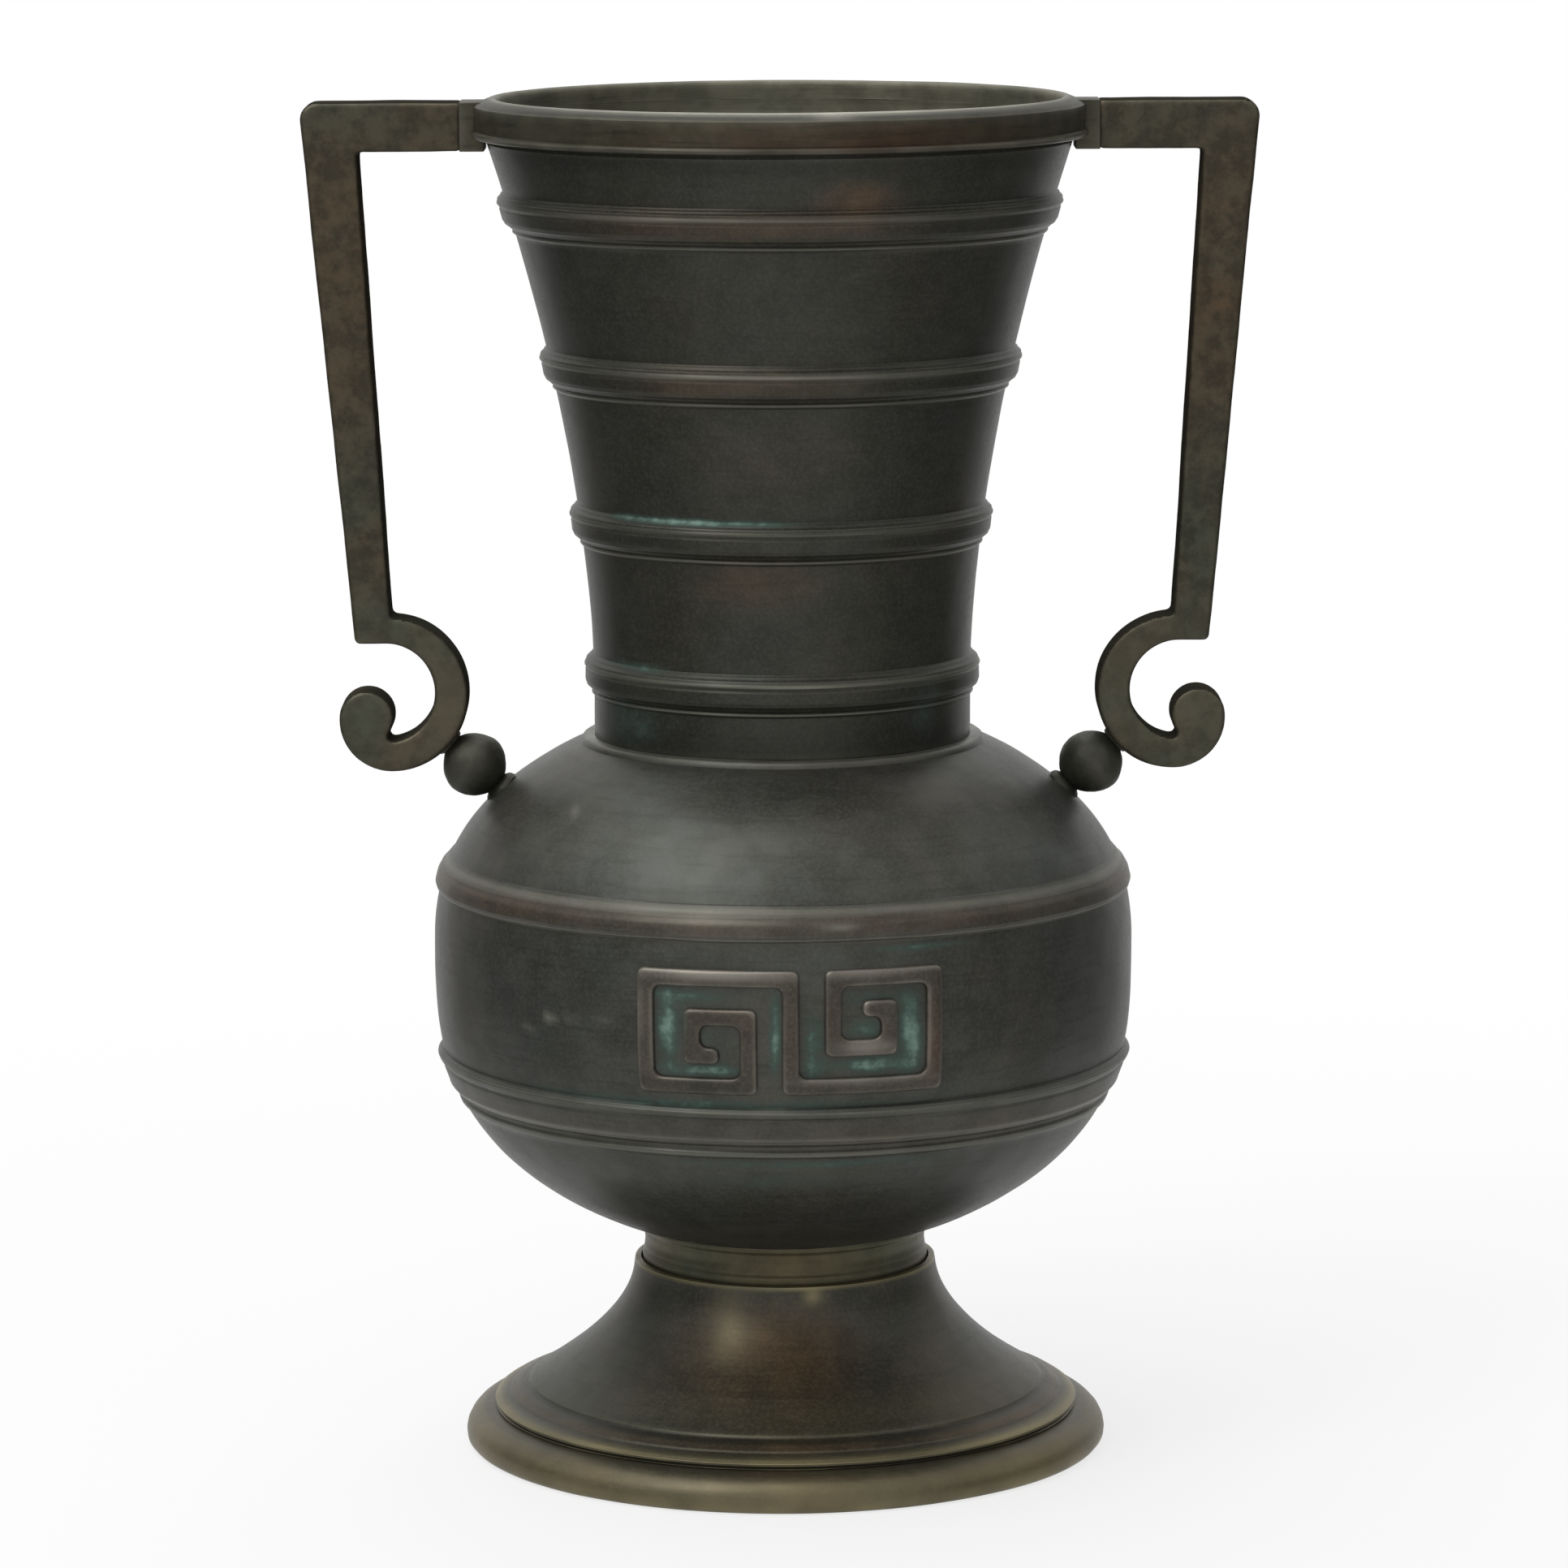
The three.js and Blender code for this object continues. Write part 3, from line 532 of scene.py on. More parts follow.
def bead_profile(along):
    """Radius of the bead and its collars, in millimetres, at a distance along the stud."""
    share = min(1.0, abs(along) / BEAD_WAIST)
    waist = BEAD_WAIST * (1 - share**BEAD_POWER) ** (1 / BEAD_POWER)
    collar = SHOULDER_COLLAR if along < 0 else SCROLL_COLLAR
    inside_collar = collar[0][0] <= along <= collar[-1][0]
    return max(waist, eased(collar, along) if inside_collar else 0.0)


bead_low_end, bead_high_end = SHOULDER_COLLAR[0][0], SCROLL_COLLAR[-1][0]
bead_rows = 60
rise = [bead_low_end + (bead_high_end - bead_low_end) * i / bead_rows for i in range(bead_rows + 1)]
right_bead = turned("right_bead_casting", [
    (BORE, bead_low_end * MM),
    *[(bead_profile(along) * MM, along * MM) for along in rise],
    (BORE, bead_high_end * MM),
], steps=64)
tilt = Matrix.Rotation(math.pi / 2 - STUD_ANGLE, 4, "Y")
right_bead.data.transform(Matrix.Translation(bead_centre) @ tilt)

# %% [markdown]
# Both sides carry the same castings, so the finished handle and bead are copied with their own mesh and
# turned half a turn about the axis. A mirror would do for these two, but it would turn the winding of the
# key fret round, and the same helper copies the fret. The turn is put into the mesh, and the objects stay
# at the origin.

# %% Copy the fittings to the other side
half_turn = Matrix.Rotation(math.pi, 4, "Z")


def other_side(piece, name):
    """Copy a piece, with a mesh of its own, to the opposite side of the axis."""
    only(piece)
    bpy.ops.object.duplicate(linked=False)
    copy = bpy.context.object
    copy.name = name
    copy.data.transform(half_turn)
    return copy


left_handle = other_side(right_handle, "left_handle_casting")
left_bead = other_side(right_bead, "left_bead_casting")
print("copied", left_handle.name, "and", left_bead.name)

# %% [markdown]
# The key fret is one square-cornered stroke that winds out of one spiral and into the other. It is drawn
# flat, as a strip of paper would be, given its thickness and rounded corners, remeshed so that it has
# points enough to bend, and wrapped on the belly. Straight bars laid side by side would show their joints.
# The root of the stroke is sunk in the wall so that no gap shows under it.

# %% Draw the fret flat
FRET_HALF_WIDTH = 26.2 * MM
FRET_HALF_HEIGHT = 9.75 * MM
NEAR_UPRIGHT = 7.5 * MM
FAR_UPRIGHT = 17.6 * MM
INNER_BAR = 2.8 * MM
HOOK = 4.2 * MM
HOOK_LENGTH = 5.0 * MM
FRET_STROKE = 3.2 * MM
FRET_RELIEF = 1.0 * MM
FRET_ROOT = 1.2 * MM
FRET_MIDDLE = WIDEST - 5.1 * MM
FRET_TURN = math.radians(1.1)


def fret_path():
    """Centreline of the stroke as (along, up) from the middle of the panel."""
    half = [(FAR_UPRIGHT - HOOK_LENGTH, HOOK), (FAR_UPRIGHT, HOOK), (FAR_UPRIGHT, -INNER_BAR),
            (NEAR_UPRIGHT, -INNER_BAR), (NEAR_UPRIGHT, FRET_HALF_HEIGHT), (FRET_HALF_WIDTH, FRET_HALF_HEIGHT),
            (FRET_HALF_WIDTH, -FRET_HALF_HEIGHT), (0, -FRET_HALF_HEIGHT)]
    return [Vector(p) for p in half] + [-Vector(p) for p in reversed(half)]


def offset_side(path, reach):
    """The path moved sideways by `reach`, with mitred corners."""
    moved = []
    for i, point in enumerate(path):
        before = path[max(0, i - 1)]
        after = path[min(len(path) - 1, i + 1)]
        entry = (point - before).normalized() if i > 0 else (after - point).normalized()
        leave = (after - point).normalized() if i < len(path) - 1 else entry
        corner = entry if entry.dot(leave) > 0.5 else entry + leave
        moved.append(point + reach * Vector((-corner.y, corner.x)))
    return moved


path = fret_path()
strip = offset_side(path, FRET_STROKE / 2) + offset_side(path, -FRET_STROKE / 2)[::-1]
front_fret = draw_line("front_key_fret", [(p.x, p.y, 0) for p in [*strip, strip[0]]])
fill_outline()
bpy.ops.mesh.bevel(offset=1.3 * MM, segments=5, affect="VERTICES")
bpy.ops.mesh.select_all(action="SELECT")
bpy.ops.mesh.extrude_region_move(TRANSFORM_OT_translate={"value": (0, 0, FRET_ROOT + FRET_RELIEF)})
all_outwards()
apply(front_fret, "BEVEL", "rounded edges", width=0.7 * MM, segments=3, limit_method="ANGLE")
apply(front_fret, "REMESH", "even skin", mode="VOXEL", voxel_size=0.28 * MM)
apply(front_fret, "SMOOTH", "worn", factor=0.5, iterations=20)


# %% Wrap it on the belly
def wrap(piece):
    """Bend a flat drawing on to the belly, its thickness standing outwards."""
    for vertex in piece.data.vertices:
        along, up, out = vertex.co
        height = FRET_MIDDLE + up
        radius = body_radius(height) - FRET_ROOT + out
        angle = FRET_TURN + along / BODY_RADIUS
        vertex.co = (radius * math.sin(angle), -radius * math.cos(angle), height)
    piece.data.update()


wrap(front_fret)
only(front_fret)
bpy.ops.object.shade_smooth()
back_fret = other_side(front_fret, "back_key_fret")
print("fret,", len(front_fret.data.polygons), "faces each")

# %% [markdown]
# No cast wall is perfectly even. A very slight displacement, a tenth or two of a millimetre, makes the
# reflections swim as they do on the real bronze, and the hand-chased beads are a little rougher. A bump in
# the material would leave the outline too true, so the displacement is applied and the meshes carry it. The
# underside of the foot is levelled again, because the vase stands on it.


# %% Cast unevenness
def roughen(piece, texture, depth, middle=0.5):
    """Push a surface in and out by a cloud texture, `depth` millimetres in all."""
    apply(piece, "DISPLACE", texture.name, texture=texture, strength=depth * MM, mid_level=middle,
          texture_coords="LOCAL")


cast_clouds = bpy.data.textures.new("cast unevenness", "CLOUDS")
cast_clouds.noise_scale = 16 * MM
cast_clouds.noise_depth = 2
chasing = bpy.data.textures.new("chased facets", "CLOUDS")
chasing.noise_scale = 4 * MM
for piece, depth in [(body, 0.3), (neck, 0.22), (foot, 0.22), (rim, 0.15), (right_handle, 0.3),
                     (left_handle, 0.3), (right_bead, 0.25), (left_bead, 0.25)]:
    roughen(piece, cast_clouds, depth)
for bead in (right_bead, left_bead):
    roughen(bead, chasing, 0.45, middle=0.6)
for vertex in foot.data.vertices:
    if vertex.co.z < 0.2 * MM:
        vertex.co.z = 0.0
print("foot stands at", round(min(vertex.co.z for vertex in foot.data.vertices), 6))

# %% [markdown]
# The patina differs from place to place: rubbed brown on the bands and where hands go, green where damp
# stood in the hollows, and pale where cloths have rubbed an edge for years. Some zones paint light and shade:
# the underside of the belly is darkened nearly to black as painted shade, the pale lines along the edges of
# the mouldings are partly wear and partly painted highlights, and the pale near lip and two spots on the foot
# are painted highlights. A painted image would need a flat map of every piece. These zones are soft, so they
# are kept as attributes of the mesh: in the first, red says how brown a point is, green how much verdigris it
# has and blue how dark it is, from dark patina and from painted shade, and the second says how pale it is,
# from wear and from painted highlights. Each zone is a soft patch, given in millimetres by its place along
# the wall from the front, its height and its two half sizes, then a strength and, where it needs one, a least
# radius.
#
# Wear follows the raised edges, so a third attribute says how far each point stands out of its neighbours.
# The renderer has such a measure of its own, called pointiness, but it takes points less than about a third
# of a millimetre apart for one, and on mouldings as fine as these that leaves stray spots.


# %% Raised edges
def read(items, name, width, kind=np.float32):
    """One property of all vertices or edges, as rows of `width` numbers."""
    values = np.empty(len(items) * width, kind)
    items.foreach_get(name, values)
    return values.reshape(-1, width)


def standing_out(mesh):
    """0.5 where a mesh is flat, more on a raised edge and less in a hollow, averaged with the neighbours."""
    places = read(mesh.vertices, "co", 3)
    normals = read(mesh.vertices, "normal", 3)
    first, second = read(mesh.edges, "vertices", 2, np.int32).T
    way = places[second] - places[first]
    way /= np.linalg.norm(way, axis=1, keepdims=True)
    total = np.zeros_like(places)
    np.add.at(total, first, way)
    np.add.at(total, second, -way)
    number = np.bincount(np.concatenate([first, second]), minlength=len(places))
    lean = (total * normals).sum(axis=1) / number
    standing = np.arccos(np.clip(lean, -1, 1)) / math.pi
    blurred = standing.copy()
    np.add.at(blurred, first, standing[second])
    np.add.at(blurred, second, standing[first])
    return (blurred / (number + 1)).astype(np.float32)


# %% Painting zones
def patch_share(patch, along, height, radius):
    """How strongly one patch marks a point."""
    at, level, half_along, half_height, strength, *least = patch
    if least and radius < least[0]:
        return 0.0
    sideways = ((along - at) / half_along) ** 2 if half_along else 0.0
    return strength * math.exp(-sideways - ((height - level) / half_height) ** 2)


def paint(piece, brown=(), green=(), dark=(), rubbed_and_highlit=(), repeated=True):
    """Store a piece's zones and raised edges. The back repeats the front, unless `repeated` is false."""
    mesh = piece.data
    patina, wear_and_highlight_shares = [], []
    for vertex in mesh.vertices:
        x, y, z = (value / MM for value in vertex.co)
        radius = math.hypot(x, y)
        facing = (-x, -y) if repeated and y > 0 else (x, y)
        along = math.atan2(facing[0], -facing[1]) * radius
        shares = [min(1.0, sum(patch_share(patch, along, z, radius) for patch in patches))
                  for patches in (brown, green, dark, rubbed_and_highlit)]
        patina += [*shares[:3], 1.0]
        wear_and_highlight_shares.append(shares[3])
    mesh.color_attributes.new("patina and shade zones", "FLOAT_COLOR", "POINT").data.foreach_set("color", patina)
    mesh.attributes.new("rubbed_and_highlit", "FLOAT", "POINT").data.foreach_set("value", wear_and_highlight_shares)
    mesh.attributes.new("standing out", "FLOAT", "POINT").data.foreach_set("value", standing_out(mesh))
    print(piece.name, "painted,", len(wear_and_highlight_shares), "points")


def ring(level, half_height, strength, *least):
    """A zone that runs all the way round."""
    return (0, level, None, half_height, strength, *least)


paint(body, brown=[
    ring(107.8, 2.8, 0.8),
    ring(69.5, 4, 0.35),
    (38, 69, 22, 3.5, 0.3),
    (0, 88.9, 31, 12, 0.3),
    ring(46, 5, 0.5),
], green=[
    (-15, 75.7, 42, 0.9, 0.6),
    (5, 64.2, 30, 0.8, 0.6),
    (0, 60.5, 20, 2.4, 0.35),
    (25, 103.4, 12, 0.8, 0.6),
    (-13, 89, 10, 9, 0.3),
    (17, 88, 9, 8, 0.3),
    (-20.9, 88.5, 1.7, 8, 0.7),
    (-14, 82, 7, 1, 0.7),
    (-18, 95.4, 6, 1, 0.6),
    (-1.3, 89, 1.1, 8, 0.9),
    (5.2, 85, 1.8, 8, 0.6),
    (23, 88, 1.8, 8, 0.85),
    (16, 95, 6, 1.4, 0.4),
    (14.5, 89.6, 3, 1.6, 0.35),
    (15, 82.9, 8, 1.2, 0.7),
], dark=[
    # painted shade: the underside of the belly is darkened
    ring(43, 12, 0.2),
    ring(132.7, 0.7, 0.3),
    ring(75.2, 0.8, 0.25),
], rubbed_and_highlit=[
    (-42, 123.8, 1.1, 0.9, 0.45),
    (-45.4, 89, 1.1, 0.8, 1.6),
    (-51, 86.6, 1.6, 0.7, 0.4),
    (-40.5, 89.3, 1.2, 0.7, 0.4),
    (-33.5, 89.9, 1.8, 0.6, 0.25),
    (-30, 121, 12, 6, 0.15),
    # pale rings and patches on the seat, the shoulder band and the belly band: partly worn edges, partly
    # painted highlights
    ring(132.6, 0.6, 0.12),
    ring(110.2, 0.6, 0.4),
    (-9, 108.6, 10, 0.7, 0.35),
    (10, 107.6, 3, 0.6, 0.6),
    ring(105.2, 0.4, 0.35),
    ring(74.1, 0.6, 0.15),
    ring(68.7, 0.6, 0.35),
    ring(65.9, 0.35, 0.35),
])
# pale lines on the crest and the ridge of every band, and stronger ones at the front of three bands: partly
# worn edges, partly painted highlights
crest, ridge = 5.8, 0.5
crest_wear_and_highlight = (0.3, 0.15, 0.3, 0.2)
band_bottoms = [top / MM - NECK_BAND[-1][0] for top in BAND_TOPS]
band_wear_and_highlights = [
    (-20, band_bottoms[3] + crest, 18, 0.3, 0.6),
    (-6, band_bottoms[2] + crest, 16, 0.3, 0.6),
    (3, band_bottoms[0] + crest, 8, 0.3, 0.4),
]
for low, wear_and_highlight_shares in zip(band_bottoms, crest_wear_and_highlight):
    band_wear_and_highlights += [ring(low + crest, 0.6, wear_and_highlight_shares), ring(low + ridge, 0.3, 0.35)]
paint(neck, brown=[
    (14, 234.8, 6, 3, 1),
    (-10, 230, 34, 3, 0.7),
    (-9, 201.5, 24, 3, 0.6),
    (-5, 165, 12, 5, 0.6),
    (0, 188, 20, 8, 0.25),
], green=[
    (-22, 176, 14, 0.7, 1),
    (-4, 176, 10, 0.5, 0.5),
    (-31, 138, 14, 6, 0.42),
    (29, 141, 6, 7, 0.35),
    (-30, 148.6, 9, 1, 0.6),
], dark=[
    ring(133.5, 5, 0.45),
    ring(240.5, 2, 0.3),
], rubbed_and_highlit=band_wear_and_highlights)
paint(foot, brown=[
    (-4, 22, 17, 10, 0.9),
    ring(3.2, 4.2, 0.5),
    ring(10.1, 0.6, 0.5),
], green=[
    (-8, 34.4, 20, 0.6, 0.3),
], dark=[
    # painted shade on the flank of the foot, in the first patch
    (-30, 24, 11, 9, 0.55),
    ring(11.1, 0.4, 0.6),
    ring(7.3, 0.3, 0.7),
], rubbed_and_highlit=[
    # pale rings on the roll, the step and the top of the foot and a pale band low on the front: partly wear,
    # partly painted highlights
    ring(3.5, 3.6, 0.25),
    (0, 14, 42, 3, 0.12),
    ring(8.5, 0.45, 0.6),
    ring(34.5, 0.35, 0.3),
    # painted highlights: two soft pale spots on the front of the foot
    (-10.5, 28, 3, 6, 0.3),
    (5, 33, 1.6, 1.6, 0.6),
])
paint(stem, brown=[(0, 38, 14, 6, 0.8)], green=[(-20, 36, 6, 2, 0.3)])
rim_face = RIM_RADIUS / MM - 1.2
lip_slope = RIM_RADIUS / MM - 3
lip_inner = RIM_RADIUS / MM - 4.4
# The rim is painted for the front only: the pale near lip and the glint right of its middle are painted
# highlights, and the dark bands on the outer slope of the lip and over the lower bead are painted shade.
paint(rim, brown=[
    ring(245.5, 3, 0.2, rim_face),
    (8, 245, 34, 4, 0.8, rim_face),
], rubbed_and_highlit=[
    (0, 250.1, 70, 0.35, 0.75, lip_inner),
    (9.3, 249.4, 4, 0.6, 0.15, lip_inner),
], dark=[
    (0, 249.2, 90, 0.6, 1, lip_slope),
    (0, 243.4, 42, 0.45, 0.5, rim_face),
], repeated=False)
# painted shadow: each bead is darkened at its foot, where it meets the shoulder
for bead in (right_bead, left_bead):
    paint(bead, dark=[ring(bead_low.z / MM, 2.5, 0.9)])
for handle in (right_handle, left_handle):
    paint(handle, brown=[ring(215, 38, 0.75)], rubbed_and_highlit=[ring(142, 14, 0.3)])
for fret in (front_fret, back_fret):
    paint(fret, brown=[
        ring(89, 12, 0.6),
        (27, 88, 2.5, 10, 0.5),
    ], green=[
        (21, 92, 4, 4, 0.25),
        (-2, 92, 5, 5, 0.25),
        (-18, 90, 1.5, 6, 0.4),
    ], dark=[
        (-12, 87.5, 6, 5, 0.5),
        (-16, 79.5, 12, 1.5, 0.35),
        (8, 89, 3, 12, 0.3),
    ], rubbed_and_highlit=[
        # pale on the top edges, the left border and the inner bars of the strokes: partly wear, partly
        # painted highlights
        (-13, 99.3, 15, 1, 0.5),
        (17, 99.6, 9, 0.8, 0.35),
        (-26.3, 92, 0.9, 7, 0.35),
        (15, 86.3, 5, 1.3, 0.5),
        (14, 80.2, 12, 0.8, 0.25),
    ])

# %% [markdown]
# The finish is built from a few shared effects. Each is a node group with named inputs, made once and then
# placed in every bronze with its own values: clouds of tone, wear on the edges, verdigris that breaks up
# into specks, and the skin of the metal with its turning lines and pits. Copied nodes would look the same,
# but a mend would be needed in every copy. A noise of scale 1000 has grains of about a millimetre, because
# the pieces are in metres.


# %% Small helpers for node trees
def plug(tree, made, inputs):
    """Give each named input of a node a value or a link."""
    for key, value in inputs.items():
        if isinstance(value, bpy.types.NodeSocket):
            tree.links.new(value, made.inputs[key])
        else:
            made.inputs[key].default_value = value
    return made


def node(tree, kind, inputs=None, **settings):
    """Add a shader node, set its options and plug its inputs."""
    made = tree.nodes.new("ShaderNode" + kind)
    for key, value in settings.items():
        setattr(made, key, value)
    return plug(tree, made, inputs or {})


def calc(tree, operation, first, second=0.0, third=0.0):
    """One math node, returned as its output socket."""
    return node(tree, "Math", {0: first, 1: second, 2: third}, operation=operation).outputs[0]


def ramp(tree, value, low, high):
    """0 below `low`, 1 above `high`, eased between. The ends are numbers or sockets."""
    made = node(tree, "MapRange", {"Value": value, "From Min": low, "From Max": high},
                interpolation_type="SMOOTHSTEP")
    return made.outputs[0]


def blend(tree, share, first, second):
    """Mix two colours by a share."""
    return node(tree, "Mix", {0: share, 6: first, 7: second}, data_type="RGBA").outputs[2]


def point_on(tree):
    """Where the shaded point lies on its piece."""
    return node(tree, "TexCoord").outputs["Object"]


def noise_at(tree, where, scale, detail=4.0):
    """A soft noise from 0 to 1."""
    made = node(tree, "TexNoise", {"Vector": where, "Scale": scale, "Detail": detail, "Roughness": 0.6})
    return made.outputs[0]


def new_group(name, inputs, outputs):
    """A shader node group with float inputs (name, default) and named float outputs."""
    tree = bpy.data.node_groups.new(name, "ShaderNodeTree")
    for label, value in inputs:
        tree.interface.new_socket(label, in_out="INPUT", socket_type="NodeSocketFloat").default_value = value
    for label in outputs:
        tree.interface.new_socket(label, in_out="OUTPUT", socket_type="NodeSocketFloat")
    return tree, tree.nodes.new("NodeGroupInput").outputs, tree.nodes.new("NodeGroupOutput")


def place(tree, group, **inputs):
    """Put a node group in a tree, plug its inputs and return its outputs."""
    made = tree.nodes.new("ShaderNodeGroup")
    made.node_tree = group
    return plug(tree, made, inputs).outputs


# %% Patina clouds
clouds, given, result = new_group("patina clouds", [("size", 0.03)], ["cloud", "mottle", "speckle"])
where = point_on(clouds)
broad = noise_at(clouds, where, calc(clouds, "DIVIDE", 1.0, given["size"]), 5.0)
small = noise_at(clouds, where, calc(clouds, "DIVIDE", 5.0, given["size"]), 5.0)
plug(clouds, result, {
    "cloud": ramp(clouds, broad, 0.35, 0.65),
    "mottle": ramp(clouds, small, 0.35, 0.65),
    "speckle": ramp(clouds, noise_at(clouds, where, 1500.0), 0.4, 0.7),
})

# %% Edge wear
wear, given, result = new_group("edge wear", [("amount", 0.5), ("sharpness", 0.58)], ["edge", "hollow"])
standing = node(wear, "Attribute", attribute_name="standing out").outputs["Fac"]
patchy = ramp(wear, noise_at(wear, point_on(wear), 90.0, 2.0), 0.3, 0.7)
uneven = calc(wear, "MULTIPLY_ADD", patchy, 0.6, 0.4)
raised = calc(wear, "MULTIPLY", ramp(wear, standing, 0.505, given["sharpness"]), uneven)
plug(wear, result, {
    "edge": calc(wear, "MULTIPLY", raised, given["amount"]),
    "hollow": calc(wear, "SUBTRACT", 1.0, ramp(wear, standing, 0.44, 0.49)),
})

# %% Verdigris
verdigris, given, result = new_group("verdigris", [("zone", 0.0)], ["share", "pale"])
where = point_on(verdigris)
crumbs = calc(verdigris, "MULTIPLY_ADD", noise_at(verdigris, where, 700.0), 1.2, 0.4)
drifts = calc(verdigris, "MULTIPLY_ADD", noise_at(verdigris, where, 160.0, 2.0), 1.2, 0.4)
broken = calc(verdigris, "MULTIPLY", crumbs, drifts)
level = calc(verdigris, "MULTIPLY", given["zone"], broken)
plug(verdigris, result, {
    "share": ramp(verdigris, level, 0.1, 0.9),
    "pale": ramp(verdigris, level, 0.45, 1.3),
})


# %% Metal skin
def stretched(tree, where, factors):
    """A place with each axis scaled, so that a noise read there is drawn out along the small ones."""
    return node(tree, "VectorMath", {0: where, 1: factors}, operation="MULTIPLY").outputs[0]


skin, given, result = new_group("metal skin", [("turning", 0.5), ("pitting", 0.5)], ["height", "streak"])
where = point_on(skin)
lines = noise_at(skin, stretched(skin, where, (0.02, 0.02, 1.0)), 1800.0, 3.0)
grit = noise_at(skin, where, 800.0)
lumps = noise_at(skin, where, 130.0, 2.0)
pits = node(skin, "TexVoronoi", {"Vector": where, "Scale": 260.0}).outputs["Distance"]
holes = calc(skin, "SUBTRACT", ramp(skin, pits, 0.04, 0.16), 1.0)
total = calc(skin, "MULTIPLY", holes, given["pitting"])
total = calc(skin, "MULTIPLY_ADD", lines, given["turning"], total)
total = calc(skin, "MULTIPLY_ADD", grit, 0.5, total)
total = calc(skin, "MULTIPLY_ADD", lumps, 1.6, total)
broken_lines = noise_at(skin, stretched(skin, where, (60.0, 60.0, 900.0)), 1.0, 3.0)
streak = calc(skin, "MULTIPLY", ramp(skin, broken_lines, 0.5, 0.7), given["turning"])
plug(skin, result, {"height": total, "streak": streak})
print("effects:", ", ".join(group.name for group in (clouds, wear, verdigris, skin)))

# %% [markdown]
# Each bronze mixes a dark and a brown tone by its clouds and zones, darkens in the hollows and shows warmer
# metal on the edges. A patinated bronze is a metal under a thin dark oxide, so it is mostly metallic, with
# a soft, waxy roughness. The oxide also dulls what a bare metal would do at a grazing angle, so the tint at
# the edges is set to grey. Film darkens the mottling and the turning lines, dirt fills the hollows, and the
# dark zones are blackened, in places as painted shade. The rubbed zones take the worn colour, in places as
# painted highlights.


# %% Bronze materials
def colour(text):
    """A colour written as it is seen, such as 3a3a32, as the linear values that the shader needs."""
    values = [int(text[i:i + 2], 16) / 255 for i in (0, 2, 4)]
    return [v / 12.92 if v <= 0.04045 else ((v + 0.055) / 1.055) ** 2.4 for v in values] + [1.0]


FILM = colour("24241e")
DIRT = colour("16150f")
# darkens the dark zones, which hold dark patina and painted shade
DARK_PATINA_AND_SHADE = colour("1b1c17")
GREEN_CRUST = colour("3d534c")
PALE_CRUST = colour("789085")


def bronze(name, dark, brown, worn, size=0.03, browning=0.25, wear_amount=0.6, rough=0.4, turning=0.5,
           pitting=0.3, bump=0.3, grazing=0.85, sharpness=0.58, metal=0.6, gloss=0.3, mottling=0.35,
           grain=0.08):
    """A patinated bronze: two tones in clouds and zones, worn edges, verdigris and a fine relief."""
    material = bpy.data.materials.new(name)
    material.use_nodes = True
    tree = material.node_tree
    patina = node(tree, "Attribute", attribute_name="patina and shade zones").outputs["Color"]
    zones = node(tree, "SeparateColor", {0: patina}).outputs
    rubbed_and_highlit = node(tree, "Attribute", attribute_name="rubbed_and_highlit").outputs["Fac"]
    tone = place(tree, clouds, size=size)
    edge = place(tree, wear, amount=wear_amount, sharpness=sharpness)
    crust = place(tree, verdigris, zone=zones["Green"])
    relief = place(tree, skin, turning=turning, pitting=pitting)
    zoned = calc(tree, "MULTIPLY", zones["Red"], calc(tree, "MULTIPLY_ADD", tone["cloud"], 0.5, 0.6))
    brown_share = calc(tree, "MAXIMUM", zoned, calc(tree, "MULTIPLY", tone["cloud"], browning))
    base = blend(tree, brown_share, colour(dark), colour(brown))
    for share, strength, tint in [
        (tone["mottle"], mottling, FILM),
        (relief["streak"], 0.5, FILM),
        (tone["speckle"], grain, colour(worn)),
        (edge["edge"], 1.0, colour(worn)),
        (edge["hollow"], 0.35, DIRT),
        # dark zones: dark patina, and painted shade under the belly, at the feet of the beads, on the foot
        # and on the rim
        (zones["Blue"], 0.85, DARK_PATINA_AND_SHADE),
        # rubbed zones: worn edges and nicks, and painted highlights on the mouldings, the lip, the frets and
        # the foot
        (rubbed_and_highlit, calc(tree, "MULTIPLY_ADD", tone["cloud"], 0.4, 0.6), colour(worn)),
        (crust["share"], 1.0, blend(tree, crust["pale"], GREEN_CRUST, PALE_CRUST)),
    ]:
        base = blend(tree, calc(tree, "MULTIPLY", share, strength), base, tint)
    bare = calc(tree, "MULTIPLY_ADD", crust["share"], -0.8, 1.0)
    varied = calc(tree, "MULTIPLY_ADD", tone["speckle"], 0.08, rough)
    varied = calc(tree, "MULTIPLY_ADD", edge["edge"], -0.1, varied)
    varied = calc(tree, "MULTIPLY_ADD", crust["share"], 0.3, varied)
    raised = node(tree, "Bump", {"Height": relief["height"], "Strength": bump, "Distance": 0.1 * MM})
    plug(tree, tree.nodes["Principled BSDF"], {
        "Base Color": base,
        "Metallic": calc(tree, "MULTIPLY", bare, metal),
        "Roughness": varied,
        "Specular Tint": (grazing, grazing, grazing, 1),
        "Specular IOR Level": gloss,
        "Normal": raised.outputs[0],
    })
    print(name, "made,", len(tree.nodes), "nodes")
    return material


dark_bronze = bronze("dark bronze patina", "343631", "554536", "7c7b70", browning=0.12)
body_bronze = bronze("body bronze patina", "444743", "54483c", "85847a", size=0.04)
# its pale worn colour also paints the highlight on the near lip
rim_bronze = bronze("rim bronze patina", "4d4c3f", "433226", "c4c2b6", wear_amount=0.15, turning=0.8,
                    pitting=0.0, bump=0.15, grazing=0.5, grain=0.01)
